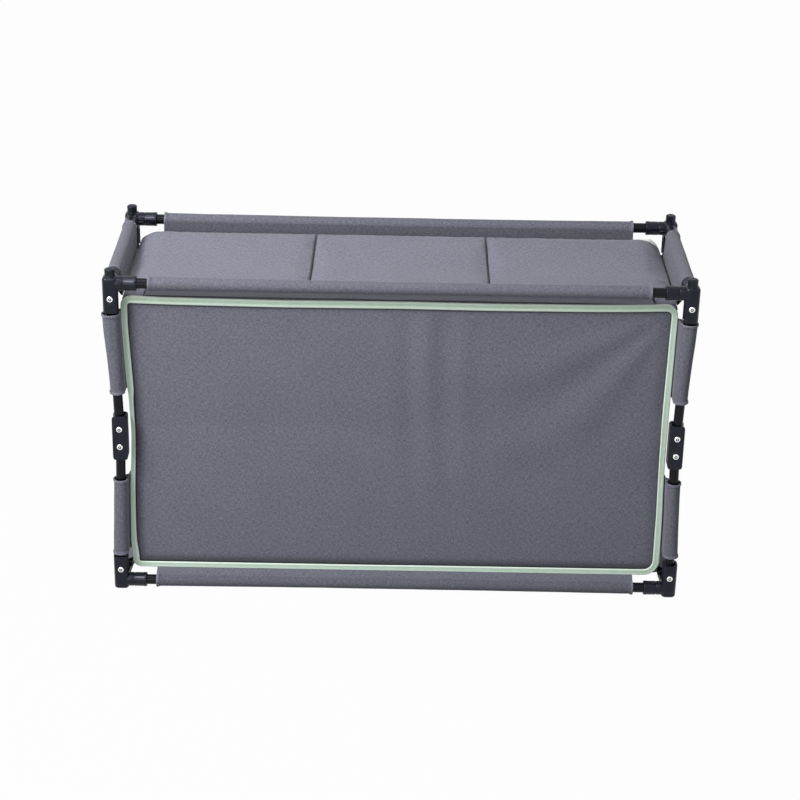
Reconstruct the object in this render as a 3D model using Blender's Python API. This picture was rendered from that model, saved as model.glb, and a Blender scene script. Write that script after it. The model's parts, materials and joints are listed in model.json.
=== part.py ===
"""Folding fabric cupboard for a camp kitchen.

A cloth box hangs in a frame of tubes. The bottom frame and the top frame are rectangles of rails
plugged into moulded corners. Four legs join them, each in two halves with a two-pin knee link
between the halves. The knees swing inwards, so the top frame comes straight down on the bottom one.

The plain bound face looks along -Y and the open side looks along +Y. The floor is at zero height,
under the middle of the frame.
"""

import bmesh
import bpy
from math import acos, atan2, cos, hypot, pi, radians, sin, sqrt
from mathutils import Matrix, Vector

# Frame
LEG_SPAN_X = 0.875
LEG_SPAN_Y = 0.287
LEG_PIVOT_LENGTH = 0.2165
LEG_LEAN = radians(1.6)
KNEE_PIN_SPACING = 0.030
RAIL_HEIGHT = 0.0125
RAIL_TO_PIVOT = 0.0225

# Tubes
RAIL_RADIUS = 0.008
LEG_RADIUS = 0.0075
TUBE_WALL = 0.0012
RAIL_PLUG_START = 0.017
LEG_END_PAST_PIVOT = 0.004

# Clearances
GAP = 0.0003
SWING_GAP = 0.0004
CUT_OVERRUN = 0.004

# Corner mouldings
CORNER_HALF_WIDTH = 0.0115
CORNER_HALF_DEPTH = 0.0115
CORNER_PAST_PIVOT = 0.0228
CORNER_CROWN = 0.0112
CORNER_EDGE_RADIUS = 0.0040
FOOT_CHAMFER = 0.0012
CROWN_CHAMFER = 0.0030
SOCKET_RADIUS = 0.011
SOCKET_LENGTH = 0.040
STUD_RADIUS = 0.0072
STUD_HEIGHT = 0.0120
STUD_CHAMFER = 0.0012
STUD_SHANK_RADIUS = 0.0045
STUD_SHANK_LENGTH = 0.0085

# Pins
PIN_RADIUS = 0.0024
PIN_HEAD_RADIUS = 0.0048
PIN_HEAD_HEIGHT = 0.0017
PIN_HEAD_CROWN = 0.0008
PIN_RECESS_RADIUS = 0.0060
PIN_RECESS_DEPTH = 0.0009

# Knee links
KNEE_HALF_WIDTH = 0.0110
KNEE_HALF_DEPTH = 0.0110
KNEE_END_PAST_PIN = 0.0220
KNEE_CORNER_CUT = 0.0040

# Sleeves
SLEEVE_OUTER_RADIUS = 0.0105
LEG_SLEEVE_OUTER_RADIUS = 0.0108
LEG_SLEEVE_GAP = 0.0034
LEG_SLEEVE_END = 0.1580
BARE_RAIL = 0.0120
SIDE_SLEEVE_GAP = 0.0010

# Cloth box
BOX_SIDE_INSET = 0.0146
BOX_BOTTOM_RISE = 0.0146
BOX_TOP_DROP = 0.0256
BOX_CORNER_RADIUS = 0.018
WALL_FACE_INSET = 0.0162
CLOTH = 0.0013
WALL_BELLY = 0.0020
BELLY_REACH = 1.06
BELLY_POWER = 6
SIDE_PINCH = 0.0050
SIDE_WALL_INSET = 0.0047
SIDE_WALL_EDGE = 0.0085
SEAM_OVERLAP = 0.0009
BINDING_EDGE = 0.0012
BINDING_WIDTH = 0.0090
BINDING_THICKNESS = 0.0027
FACING_WIDTH = 0.038

# Padded covers and boards
COVER_THICKNESS = 0.0070
COVER_CROWN = 0.0095
BASE_CROWN = 0.0016
CHANNEL_DEPTH = 0.0022
CHANNEL_HALF_WIDTH = 0.0060
SWELL_POWER = 0.4
END_POWER = 4
CHANNEL_END_POWER = 8
BOARD_THICKNESS = 0.0040
BOARD_MARGIN = 0.0040
SHELF_BELOW_KNEE_PIN = 0.0014
SHELF_THICKNESS = 0.0060

# Facets
SMOOTH_BELOW = radians(35)
EDGE_STEPS = 3
TUBE_SIDES = 16
SOCKET_SIDES = 20
PIN_SIDES = 10
CORNER_STEPS = 4
SECTIONS = 3
SECTION_COLUMNS = 8
COVER_ROWS = 8
WALL_COLUMNS = 12
WALL_ROWS = 8
SIDE_WALL_COLUMNS = 4

# Worked out from the sizes above
LEG_X = LEG_SPAN_X / 2
LEG_Y = LEG_SPAN_Y / 2
RAIL_SLEEVE_START = SOCKET_LENGTH + BARE_RAIL
SIDE_SLEEVE_START = SOCKET_LENGTH + SIDE_SLEEVE_GAP
LEG_SLEEVE_START = CORNER_PAST_PIVOT + LEG_SLEEVE_GAP
LEG_RISE = LEG_PIVOT_LENGTH * cos(LEG_LEAN)
LEG_DRIFT = LEG_PIVOT_LENGTH * sin(LEG_LEAN)
BOTTOM_PIVOT_HEIGHT = RAIL_HEIGHT + RAIL_TO_PIVOT
LOWER_KNEE_HEIGHT = BOTTOM_PIVOT_HEIGHT + LEG_RISE
UPPER_KNEE_HEIGHT = LOWER_KNEE_HEIGHT + KNEE_PIN_SPACING
TOP_PIVOT_HEIGHT = UPPER_KNEE_HEIGHT + LEG_RISE
TOP_RAIL_HEIGHT = TOP_PIVOT_HEIGHT + RAIL_TO_PIVOT
SLOT_HALF_DEPTH = LEG_RADIUS + SWING_GAP
SLOT_BACK = hypot(LEG_RADIUS, LEG_END_PAST_PIVOT) + SWING_GAP
PIN_HOLE_RADIUS = PIN_RADIUS + GAP
BOX_HALF_WIDTH = LEG_X - BOX_SIDE_INSET
BOX_BOTTOM = RAIL_HEIGHT + BOX_BOTTOM_RISE
BOX_TOP = TOP_RAIL_HEIGHT - BOX_TOP_DROP
WALL_FACE_Y = LEG_Y - WALL_FACE_INSET
SHELF_HEIGHT = UPPER_KNEE_HEIGHT - SHELF_BELOW_KNEE_PIN
COVER_FACE_Y = WALL_FACE_Y - CLOTH - GAP
SIDE_FACE_X = BOX_HALF_WIDTH - SIDE_WALL_INSET
COVER_FLAT_HALF = SIDE_FACE_X - CLOTH - GAP - BOX_CORNER_RADIUS
COVER_SEAM_X = SIDE_FACE_X / SECTIONS
SECTION_EDGES = (-COVER_FLAT_HALF, -COVER_SEAM_X, COVER_SEAM_X, COVER_FLAT_HALF)

# How to turn a shape that stands along Z so that it lies along another axis
LAID_ALONG = {
    "X": Matrix.Rotation(pi / 2, 4, "Y"),
    "Y": Matrix.Rotation(-pi / 2, 4, "X"),
    "Z": Matrix(),
}

# Name, side across the width, side across the depth
CORNERS = (
    ("front_left", -1, -1),
    ("front_right", 1, -1),
    ("back_left", -1, 1),
    ("back_right", 1, 1),
)


def material(name, colour, roughness, metallic):
    """A plain finish for one kind of piece."""
    finish = bpy.data.materials.new(name)
    finish.use_nodes = True
    shader = finish.node_tree.nodes["Principled BSDF"]
    shader.inputs["Base Color"].default_value = (*colour, 1)
    shader.inputs["Roughness"].default_value = roughness
    shader.inputs["Metallic"].default_value = metallic
    return finish


def to_mesh(name, shape, turn_out=True):
    """Turn a bmesh into a mesh with its faces pointing out and its round faces smooth."""
    if turn_out:
        bmesh.ops.recalc_face_normals(shape, faces=shape.faces)
    mesh = bpy.data.meshes.new(name)
    shape.to_mesh(mesh)
    shape.free()
    mesh.shade_smooth()
    mesh.set_sharp_from_angle(angle=SMOOTH_BELOW)
    return mesh


def piece(name, mesh, finish, parent, location=(0, 0, 0), tilt=0):
    """Add one named piece. A mesh that is already in use is copied first, with its own finish."""
    if mesh.users:
        mesh = mesh.copy()
        mesh.materials.clear()
    mesh.materials.append(finish)
    made = bpy.data.objects.new(name, mesh)
    made.parent = parent
    made.location = Vector(location) - parent.location
    made.rotation_euler = (0, tilt, 0)
    bpy.context.scene.collection.objects.link(made)
    return made


def carrier(name, location):
    """An empty that holds the pieces of one frame."""
    made = bpy.data.objects.new(name, None)
    made.location = location
    bpy.context.scene.collection.objects.link(made)
    return made


def box(low, high):
    """A block between two corners."""
    shape = bmesh.new()
    size = Vector(high) - Vector(low)
    middle = (Vector(high) + Vector(low)) / 2
    bmesh.ops.create_cube(shape, size=1, matrix=Matrix.Translation(middle) @ Matrix.Diagonal((*size, 1)))
    return shape


def rounded_block(low, high, edge_radius, bottom_chamfer):
    """A block with round upright edges and a narrow chamfer round its lower end."""
    shape = box(low, high)
    upright = [e for e in shape.edges if abs(e.verts[0].co.z - e.verts[1].co.z) > edge_radius]
    bmesh.ops.bevel(
        shape, geom=upright, offset=edge_radius, segments=EDGE_STEPS, profile=0.5, affect="EDGES"
    )
    shape.verts.ensure_lookup_table()
    lowest = min(v.co.z for v in shape.verts)
    rim = [e for e in shape.edges if all(abs(v.co.z - lowest) < GAP for v in e.verts)]
    bmesh.ops.bevel(shape, geom=rim, offset=bottom_chamfer, segments=1, affect="EDGES")
    return shape


def turned(profile, axis, sides):
    """A solid turned round an axis from (distance along, radius) points, closed at both ends."""
    shape = bmesh.new()
    rings = []
    for along, radius in profile:
        ring = []
        for step in range(sides):
            angle = 2 * pi * step / sides
            ring.append(shape.verts.new((radius * cos(angle), radius * sin(angle), along)))
        rings.append(ring)
    for lower, upper in zip(rings, rings[1:]):
        for step in range(sides):
            after = (step + 1) % sides
            shape.faces.new((lower[step], lower[after], upper[after], upper[step]))
    shape.faces.new(rings[0][::-1])
    shape.faces.new(rings[-1])
    shape.transform(LAID_ALONG[axis])
    return shape


def pipe(start, end, outer, inner, axis, sides):
    """A straight tube with open ends."""
    shape = bmesh.new()
    rings = []
    for along, radius in ((start, outer), (end, outer), (end, inner), (start, inner)):
        ring = []
        for step in range(sides):
            angle = pi * (2 * step + 1) / sides
            ring.append(shape.verts.new((radius * cos(angle), radius * sin(angle), along)))
        rings.append(ring)
    for here, there in zip(rings, rings[1:] + rings[:1]):
        for step in range(sides):
            after = (step + 1) % sides
            shape.faces.new((here[step], here[after], there[after], there[step]))
    shape.transform(LAID_ALONG[axis])
    return shape


def carved(name, body, added=(), removed=()):
    """The body with some solids joined to it and others cut out of it."""
    made = bpy.data.objects.new(name, to_mesh(name, body))
    bpy.context.scene.collection.objects.link(made)
    tools = []
    for operation, shapes in (("UNION", added), ("DIFFERENCE", removed)):
        for shape in shapes:
            tool = bpy.data.objects.new(name + "_tool", to_mesh(name + "_tool", shape))
            tool.hide_render = True
            tool.display_type = "WIRE"
            bpy.context.scene.collection.objects.link(tool)
            tools.append(tool)
            step = made.modifiers.new(operation.lower(), "BOOLEAN")
            step.operation = operation
            step.solver = "EXACT"
            step.object = tool
    view = bpy.context.evaluated_depsgraph_get()
    mesh = bpy.data.meshes.new_from_object(made.evaluated_get(view))
    for spent in (made, *tools):
        bpy.data.objects.remove(spent)
    mesh.shade_smooth()
    mesh.set_sharp_from_angle(angle=SMOOTH_BELOW)
    return mesh


def flipped(mesh, side_x, side_y, side_z=1):
    """A mirrored copy of a mesh, with its faces still pointing out."""
    shape = bmesh.new()
    shape.from_mesh(mesh)
    shape.transform(Matrix.Diagonal((side_x, side_y, side_z, 1)))
    if side_x * side_y * side_z < 0:
        bmesh.ops.reverse_faces(shape, faces=shape.faces)
    return to_mesh(mesh.name, shape, turn_out=False)


def shell(name, outer, inner):
    """A closed sheet of cloth or board between two grids of points."""
    shape = bmesh.new()
    outside = [[shape.verts.new(p) for p in row] for row in outer]
    inside = [[shape.verts.new(p) for p in row] for row in inner]
    rows, columns = len(outer), len(outer[0])
    for r in range(rows - 1):
        for c in range(columns - 1):
            for grid in (outside, inside):
                shape.faces.new((grid[r][c], grid[r][c + 1], grid[r + 1][c + 1], grid[r + 1][c]))
    border = [(0, c) for c in range(columns)]
    border += [(r, columns - 1) for r in range(1, rows)]
    border += [(rows - 1, c) for c in range(columns - 2, -1, -1)]
    border += [(r, 0) for r in range(rows - 2, 0, -1)]
    for (r, c), (s, d) in zip(border, border[1:] + border[:1]):
        shape.faces.new((outside[r][c], outside[s][d], inside[s][d], inside[r][c]))
    return to_mesh(name, shape)


def ring_of(loops):
    """A closed ring from loops of points that follow each other round its section."""
    shape = bmesh.new()
    rings = [[shape.verts.new(p) for p in loop] for loop in loops]
    count = len(loops[0])
    for here, there in zip(rings, rings[1:] + rings[:1]):
        for step in range(count):
            after = (step + 1) % count
            shape.faces.new((here[step], here[after], there[after], there[step]))
    return shape


def corner_mesh(foot_drop, stud):
    """The left front corner moulding of the bottom frame, with the rail crossing at the origin.

    Its rail sockets point along +X and +Y, and its slotted leg stands up. foot_drop is how far
    the body goes past the rails, and stud asks for the well that a stacking stud plugs into.
    """
    body = rounded_block(
        (-CORNER_HALF_WIDTH, -CORNER_HALF_DEPTH, -foot_drop),
        (CORNER_HALF_WIDTH, CORNER_HALF_DEPTH, RAIL_TO_PIVOT + CORNER_PAST_PIVOT),
        CORNER_EDGE_RADIUS,
        CROWN_CHAMFER if stud else FOOT_CHAMFER,
    )
    socket = ((0, SOCKET_RADIUS), (SOCKET_LENGTH, SOCKET_RADIUS))
    added = [turned(socket, "X", SOCKET_SIDES), turned(socket, "Y", SOCKET_SIDES)]
    bore_radius = RAIL_RADIUS + GAP
    bore = ((RAIL_PLUG_START - GAP, bore_radius), (SOCKET_LENGTH + CUT_OVERRUN, bore_radius))
    slot = box(
        (-SLOT_BACK, -SLOT_HALF_DEPTH, RAIL_TO_PIVOT - SLOT_BACK),
        (
            CORNER_HALF_WIDTH + CUT_OVERRUN,
            SLOT_HALF_DEPTH,
            RAIL_TO_PIVOT + CORNER_PAST_PIVOT + CUT_OVERRUN,
        ),
    )
    removed = [turned(bore, "X", TUBE_SIDES), turned(bore, "Y", TUBE_SIDES), slot]
    removed += pin_cutters(CORNER_HALF_DEPTH, RAIL_TO_PIVOT)
    if stud:
        hole = STUD_SHANK_RADIUS + GAP
        floor = STUD_SHANK_LENGTH + GAP - CORNER_CROWN
        well = ((-CORNER_CROWN - CUT_OVERRUN, hole), (floor, hole))
        removed.append(turned(well, "Z", PIN_SIDES))
    return carved("corner", body, added, removed)


def stud_mesh():
    """The stacking stud that plugs into the top of a corner, its seat at the origin."""
    top = STUD_HEIGHT + GAP
    profile = (
        (-STUD_SHANK_LENGTH, STUD_SHANK_RADIUS),
        (GAP, STUD_SHANK_RADIUS),
        (GAP, STUD_RADIUS),
        (top - STUD_CHAMFER, STUD_RADIUS),
        (top, STUD_RADIUS - STUD_CHAMFER),
    )
    return to_mesh("stud", turned(profile, "Z", TUBE_SIDES))


def pin_cutters(half_depth, height):
    """The hole for a pin and the recesses for its two heads."""
    reach = half_depth + CUT_OVERRUN
    floor = half_depth - PIN_RECESS_DEPTH
    profiles = (
        ((-reach, PIN_HOLE_RADIUS), (reach, PIN_HOLE_RADIUS)),
        ((floor, PIN_RECESS_RADIUS), (reach, PIN_RECESS_RADIUS)),
        ((-reach, PIN_RECESS_RADIUS), (-floor, PIN_RECESS_RADIUS)),
    )
    cutters = []
    for profile in profiles:
        cutter = turned(profile, "Y", PIN_SIDES)
        cutter.transform(Matrix.Translation((0, 0, height)))
        cutters.append(cutter)
    return cutters


def pin_shape(half_depth, height=0):
    """A riveted pin with a domed head at each end, lying along Y."""
    seat = half_depth - PIN_RECESS_DEPTH + GAP
    end = seat + PIN_HEAD_HEIGHT
    rim = end - PIN_HEAD_CROWN
    crown = PIN_HEAD_RADIUS - PIN_HEAD_CROWN
    half = ((seat, PIN_RADIUS), (seat, PIN_HEAD_RADIUS), (rim, PIN_HEAD_RADIUS), (end, crown))
    profile = [(-along, radius) for along, radius in reversed(half)] + list(half)
    shape = turned(profile, "Y", PIN_SIDES)
    shape.transform(Matrix.Translation((0, 0, height)))
    return shape


def leg_mesh():
    """Half a leg, from its frame pivot at the origin up to its knee pin."""
    tube = pipe(
        -LEG_END_PAST_PIVOT,
        LEG_PIVOT_LENGTH + LEG_END_PAST_PIVOT,
        LEG_RADIUS,
        LEG_RADIUS - TUBE_WALL,
        "Z",
        TUBE_SIDES,
    )
    reach = LEG_RADIUS + CUT_OVERRUN
    holes = []
    for height in (0, LEG_PIVOT_LENGTH):
        hole = turned(((-reach, PIN_HOLE_RADIUS), (reach, PIN_HOLE_RADIUS)), "Y", PIN_SIDES)
        hole.transform(Matrix.Translation((0, 0, height)))
        holes.append(hole)
    return carved("leg", tube, removed=holes)


def knee_mesh():
    """The left front knee link: a channel with its back towards the cupboard, and its two pins."""
    half_height = KNEE_PIN_SPACING / 2 + KNEE_END_PAST_PIN
    back = SLOT_BACK + KNEE_HALF_WIDTH - LEG_RADIUS - SWING_GAP
    body = box(
        (-KNEE_HALF_WIDTH, -KNEE_HALF_DEPTH, -half_height), (back, KNEE_HALF_DEPTH, half_height)
    )
    ends = [e for e in body.edges if abs(e.verts[0].co.y - e.verts[1].co.y) > KNEE_HALF_DEPTH]
    bmesh.ops.bevel(body, geom=ends, offset=KNEE_CORNER_CUT, segments=1, affect="EDGES")
    slot = box(
        (-KNEE_HALF_WIDTH - CUT_OVERRUN, -SLOT_HALF_DEPTH, -half_height - CUT_OVERRUN),
        (SLOT_BACK, SLOT_HALF_DEPTH, half_height + CUT_OVERRUN),
    )
    removed = [slot]
    reach = KNEE_HALF_DEPTH + CUT_OVERRUN
    floor = KNEE_HALF_DEPTH - PIN_RECESS_DEPTH
    pins = []
    for side in (-1, 1):
        height = side * KNEE_PIN_SPACING / 2
        for near, far in ((floor, reach), (-reach, -floor)):
            profile = ((near, PIN_RECESS_RADIUS), (far, PIN_RECESS_RADIUS))
            recess = turned(profile, "Y", PIN_SIDES)
            recess.transform(Matrix.Translation((0, 0, height)))
            removed.append(recess)
        pins.append(pin_shape(KNEE_HALF_DEPTH - GAP, height))
    channel = carved("channel", body, removed=removed)
    shape = bmesh.new()
    shape.from_mesh(channel)
    return carved("knee", shape, added=pins)


def rail_loop(half_length, axis, place, tail_out, tail_up):
    """A cloth loop round the rail at a place, drawn to the seam that its tail reaches.

    tail_out and tail_up are the seam's place, measured from the rail's axis.
    """
    reach = hypot(tail_out, tail_up)
    tail_angle = atan2(tail_up, tail_out)
    spread = acos(SLEEVE_OUTER_RADIUS / reach)
    outer, inner = [], []
    for step in range(SOCKET_SIDES):
        turn = 2 * pi * step / SOCKET_SIDES
        from_tail = min(turn, 2 * pi - turn)
        radius = SLEEVE_OUTER_RADIUS
        if from_tail < spread:
            radius = SLEEVE_OUTER_RADIUS / cos(spread - from_tail)
        angle = tail_angle + turn
        outer.append((radius * cos(angle), radius * sin(angle)))
        hole = RAIL_RADIUS + GAP
        inner.append((hole * cos(angle), hole * sin(angle)))
    loops = []
    for points, along in (
        (outer, -half_length),
        (outer, half_length),
        (inner, half_length),
        (inner, -half_length),
    ):
        if axis == "X":
            loops.append([(along, across, up) for across, up in points])
        else:
            loops.append([(across, along, up) for across, up in points])
    shape = ring_of(loops)
    bmesh.ops.recalc_face_normals(shape, faces=shape.faces)
    shape.transform(Matrix.Translation(place))
    return shape


def hung_wall(name, wall, side_x, side_y):
    """A wall joined to the loops that hang it from its top rail and tie it to its bottom rail."""
    if side_y:
        axis, half_length = "X", LEG_X - RAIL_SLEEVE_START
        tail_out = side_y * (WALL_FACE_Y - CLOTH / 2 - LEG_Y)
        edge = SEAM_OVERLAP
    else:
        axis, half_length = "Y", LEG_Y - SIDE_SLEEVE_START
        tail_out = side_x * (SIDE_FACE_X - CLOTH / 2 - LEG_X)
        edge = SIDE_WALL_EDGE + SEAM_OVERLAP
    loops = []
    for rail, seam in ((RAIL_HEIGHT, BOX_BOTTOM + edge), (TOP_RAIL_HEIGHT, BOX_TOP - edge)):
        place = (side_x * LEG_X, side_y * LEG_Y, rail)
        loops.append(rail_loop(half_length, axis, place, tail_out, seam - rail))
    shape = bmesh.new()
    shape.from_mesh(wall)
    return carved(name, shape, added=loops)


def pinch(height):
    """How far the shelf draws the side of the box in at a height, from nothing at its corners."""
    end = BOX_TOP - BOX_CORNER_RADIUS
    if height < SHELF_HEIGHT:
        end = BOX_BOTTOM + BOX_CORNER_RADIUS
    span = abs(end - SHELF_HEIGHT)
    return SIDE_PINCH * max(0, 1 - abs(height - SHELF_HEIGHT) / span)


def half_width_at(height, inset=0):
    """Half the box's width at a height, round its corners."""
    bottom, top = BOX_BOTTOM + inset, BOX_TOP - inset
    radius = max(BOX_CORNER_RADIUS - inset, GAP)
    width = BOX_HALF_WIDTH - inset - pinch(height)
    past = max(bottom + radius - height, height - (top - radius), 0)
    return width - radius + sqrt(max(0, radius * radius - past * past))


def box_heights(inset, rows):
    """Heights of the points up one side: close together round the corners, even between them."""
    bottom, top = BOX_BOTTOM + inset, BOX_TOP - inset
    radius = max(BOX_CORNER_RADIUS - inset, GAP)
    curve = [radius * (1 - cos(pi / 2 * s / CORNER_STEPS)) for s in range(CORNER_STEPS + 1)]
    low = [bottom + radius - radius * cos(pi / 2 * s / CORNER_STEPS) for s in range(CORNER_STEPS)]
    middle = []
    for start, end in ((bottom + radius, SHELF_HEIGHT), (SHELF_HEIGHT, top - radius)):
        middle += [start + (end - start) * s / (rows // 2) for s in range(rows // 2)]
    high = [top - height for height in reversed(curve)]
    return low + middle + high


def outline(inset, rows):
    """The closed outline of the box's face, as (across, up) points."""
    heights = box_heights(inset, rows)
    right = [(half_width_at(h, inset), h) for h in heights]
    left = [(-x, h) for x, h in reversed(right)]
    return right + left


def binding_mesh(name, side):
    """The raised tape round the edge of the front or the back of the box."""
    across_shares = (0, 0, 0.22, 0.78, 1, 1)
    out_shares = (0, 0.62, 1, 1, 0.62, 0)
    loops = []
    for across_share, out_share in zip(across_shares, out_shares):
        y = WALL_FACE_Y + GAP + BINDING_THICKNESS * out_share
        inset = BINDING_EDGE + BINDING_WIDTH * across_share
        loops.append([(x, side * y, z) for x, z in outline(inset, WALL_ROWS)])
    return to_mesh(name, ring_of(loops))


def front_wall_mesh():
    """The plain cloth face, a little full above and below the line where the shelf is sewn."""
    outer, inner = [], []
    edge_inset = GAP
    for height in box_heights(edge_inset, WALL_ROWS):
        half = half_width_at(height, edge_inset)
        span = BOX_TOP - SHELF_HEIGHT if height > SHELF_HEIGHT else SHELF_HEIGHT - BOX_BOTTOM
        fullness = sin(pi * min(1, abs(height - SHELF_HEIGHT) / span))
        outer_row, inner_row = [], []
        for column in range(WALL_COLUMNS + 1):
            across_share = 2 * column / WALL_COLUMNS - 1
            from_side = 1 - (abs(across_share) * BELLY_REACH) ** BELLY_POWER
            belly = WALL_BELLY * fullness * max(0, from_side)
            x = half * across_share
            outer_row.append((x, -WALL_FACE_Y - belly, height))
            inner_row.append((x, CLOTH - WALL_FACE_Y - belly, height))
        outer.append(outer_row)
        inner.append(inner_row)
    return shell("front_wall", outer, inner)


def side_wall_mesh(name, side):
    """A side wall between the padded covers, drawn in where the shelf is sewn to it."""
    low = BOX_BOTTOM + SIDE_WALL_EDGE
    high = BOX_TOP - SIDE_WALL_EDGE
    heights = []
    for start, end in ((low, SHELF_HEIGHT), (SHELF_HEIGHT, high)):
        heights += [start + (end - start) * s / (WALL_ROWS // 2) for s in range(WALL_ROWS // 2)]
    heights.append(high)
    outer, inner = [], []
    for height in heights:
        x = SIDE_FACE_X - pinch(height)
        places = [COVER_FACE_Y * (2 * c / SIDE_WALL_COLUMNS - 1) for c in range(SIDE_WALL_COLUMNS + 1)]
        outer.append([(side * x, y, height) for y in places])
        inner.append([(side * (x - CLOTH), y, height) for y in places])
    return shell(name, outer, inner)


def facing_mesh():
    """The cloth border round the open side."""
    loops = []
    for inset, y in (
        (GAP, WALL_FACE_Y - CLOTH),
        (GAP, WALL_FACE_Y),
        (FACING_WIDTH, WALL_FACE_Y),
        (FACING_WIDTH, WALL_FACE_Y - CLOTH),
    ):
        loops.append([(x, y, z) for x, z in outline(inset, WALL_ROWS)])
    return to_mesh("back_facing", ring_of(loops))


def section_swell(x):
    """How full a padded cover is at a place across it, from 0 at each seam to 1 between them."""
    for start, end in zip(SECTION_EDGES, SECTION_EDGES[1:]):
        if start < x < end:
            return sin(pi * (x - start) / (end - start)) ** SWELL_POWER
    return 0


def cover_mesh(name, crown, face_height, up):
    """A padded cover in three sections, its two ends curving over into the side walls.

    face_height is its flat outer face, and up is 1 for a face that looks up or -1 for one that
    looks down. The crown always swells upwards from the upper face.
    """
    radius = BOX_CORNER_RADIUS
    flat_half = COVER_FLAT_HALF
    stations = []
    for step in range(CORNER_STEPS):
        angle = pi / 2 * (1 - step / CORNER_STEPS)
        stations.append((-flat_half - radius * sin(angle), radius * (1 - cos(angle)), -angle))
    for start, end in zip(SECTION_EDGES, SECTION_EDGES[1:]):
        width = end - start
        stations += [(start + width * c / SECTION_COLUMNS, 0, 0) for c in range(SECTION_COLUMNS)]
    stations.append((flat_half, 0, 0))
    stations += [(-x, drop, -angle) for x, drop, angle in reversed(stations[:CORNER_STEPS])]
    upper, lower = [], []
    for row in range(COVER_ROWS + 1):
        depth_share = 2 * row / COVER_ROWS - 1
        y = COVER_FACE_Y * depth_share
        upper_row, lower_row = [], []
        for x, drop, angle in stations:
            swell = crown * (1 - depth_share**END_POWER) * section_swell(x)
            seam_share = max(0, 1 - abs(abs(x) - COVER_SEAM_X) / CHANNEL_HALF_WIDTH)
            dip = CHANNEL_DEPTH * (1 - depth_share**CHANNEL_END_POWER) * seam_share
            face = Vector((x, y, face_height - up * drop))
            inward = Vector((-sin(angle), 0, -up * cos(angle))) * COVER_THICKNESS
            lift = Vector((0, 0, swell - dip))
            if up > 0:
                upper_row.append(face + lift)
                lower_row.append(face + inward)
            else:
                upper_row.append(face + inward + lift)
                lower_row.append(face)
        upper.append(upper_row)
        lower.append(lower_row)
    return shell(name, upper, lower)


def board_mesh(start, end):
    """A stiff board for the section of the top cover between two seams, its upper face at zero."""
    depth = COVER_FACE_Y - BOARD_MARGIN
    low = (start + BOARD_MARGIN, -depth, -BOARD_THICKNESS)
    high = (end - BOARD_MARGIN, depth, 0)
    return to_mesh("board", box(low, high))


def shelf_mesh():
    """The stiffened shelf, sewn to the walls all round."""
    half = SIDE_FACE_X - SIDE_PINCH - CLOTH - GAP
    return to_mesh(
        "shelf_panel",
        box(
            (-half, -COVER_FACE_Y, -SHELF_THICKNESS / 2), (half, COVER_FACE_Y, SHELF_THICKNESS / 2)
        ),
    )


def build_frames(bottom, top, finishes):
    """Corners, pins, studs and rails of both frames."""
    foot = corner_mesh(RAIL_HEIGHT, stud=False)
    head = corner_mesh(CORNER_CROWN, stud=True)
    pin = to_mesh("corner_pin", pin_shape(CORNER_HALF_DEPTH))
    stud = stud_mesh()
    for where, side_x, side_y in CORNERS:
        x, y = side_x * LEG_X, side_y * LEG_Y
        lower = flipped(foot, -side_x, -side_y)
        upper = flipped(head, -side_x, -side_y, -1)
        piece("bottom_corner_" + where, lower, finishes["plastic"], bottom, (x, y, RAIL_HEIGHT))
        piece("top_corner_" + where, upper, finishes["plastic"], top, (x, y, TOP_RAIL_HEIGHT))
        piece("bottom_pin_" + where, pin, finishes["pin"], bottom, (x, y, BOTTOM_PIVOT_HEIGHT))
        piece("top_pin_" + where, pin, finishes["pin"], top, (x, y, TOP_PIVOT_HEIGHT))
        seat = TOP_RAIL_HEIGHT + CORNER_CROWN
        piece("stacking_stud_" + where, stud, finishes["plastic"], top, (x, y, seat))

    bore = RAIL_RADIUS - TUBE_WALL
    for axis, half, spots in (
        ("X", LEG_X - RAIL_PLUG_START, (("front", 0, -LEG_Y), ("back", 0, LEG_Y))),
        ("Y", LEG_Y - RAIL_PLUG_START, (("left", -LEG_X, 0), ("right", LEG_X, 0))),
    ):
        rail = to_mesh("rail", pipe(-half, half, RAIL_RADIUS, bore, axis, TUBE_SIDES))
        for name, x, y in spots:
            piece("bottom_rail_" + name, rail, finishes["tube"], bottom, (x, y, RAIL_HEIGHT))
            piece("top_rail_" + name, rail, finishes["tube"], top, (x, y, TOP_RAIL_HEIGHT))


def build_legs(bottom, top, finishes):
    """Lower and upper legs with their sleeves, and the knee links between them."""
    leg = leg_mesh()
    bore = LEG_RADIUS + GAP
    sleeve = pipe(
        LEG_SLEEVE_START, LEG_SLEEVE_END, LEG_SLEEVE_OUTER_RADIUS, bore, "Z", TUBE_SIDES
    )
    sleeve = to_mesh("leg_sleeve", sleeve)
    knee = knee_mesh()
    middle_height = (LOWER_KNEE_HEIGHT + UPPER_KNEE_HEIGHT) / 2
    for where, side_x, side_y in CORNERS:
        x, y = side_x * LEG_X, side_y * LEG_Y
        foot = (x, y, BOTTOM_PIVOT_HEIGHT)
        head = (x, y, TOP_PIVOT_HEIGHT)
        middle = (side_x * (LEG_X - LEG_DRIFT), y, middle_height)
        lean = -side_x * LEG_LEAN
        piece("lower_leg_" + where, leg, finishes["tube"], bottom, foot, lean)
        piece("lower_sleeve_" + where, sleeve, finishes["cloth"], bottom, foot, lean)
        piece("upper_leg_" + where, leg, finishes["tube"], top, head, pi - lean)
        piece("upper_sleeve_" + where, sleeve, finishes["cloth"], top, head, pi - lean)
        link = flipped(knee, -side_x, -side_y)
        piece("knee_link_" + where, link, finishes["plastic"], bottom, middle)


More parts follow.
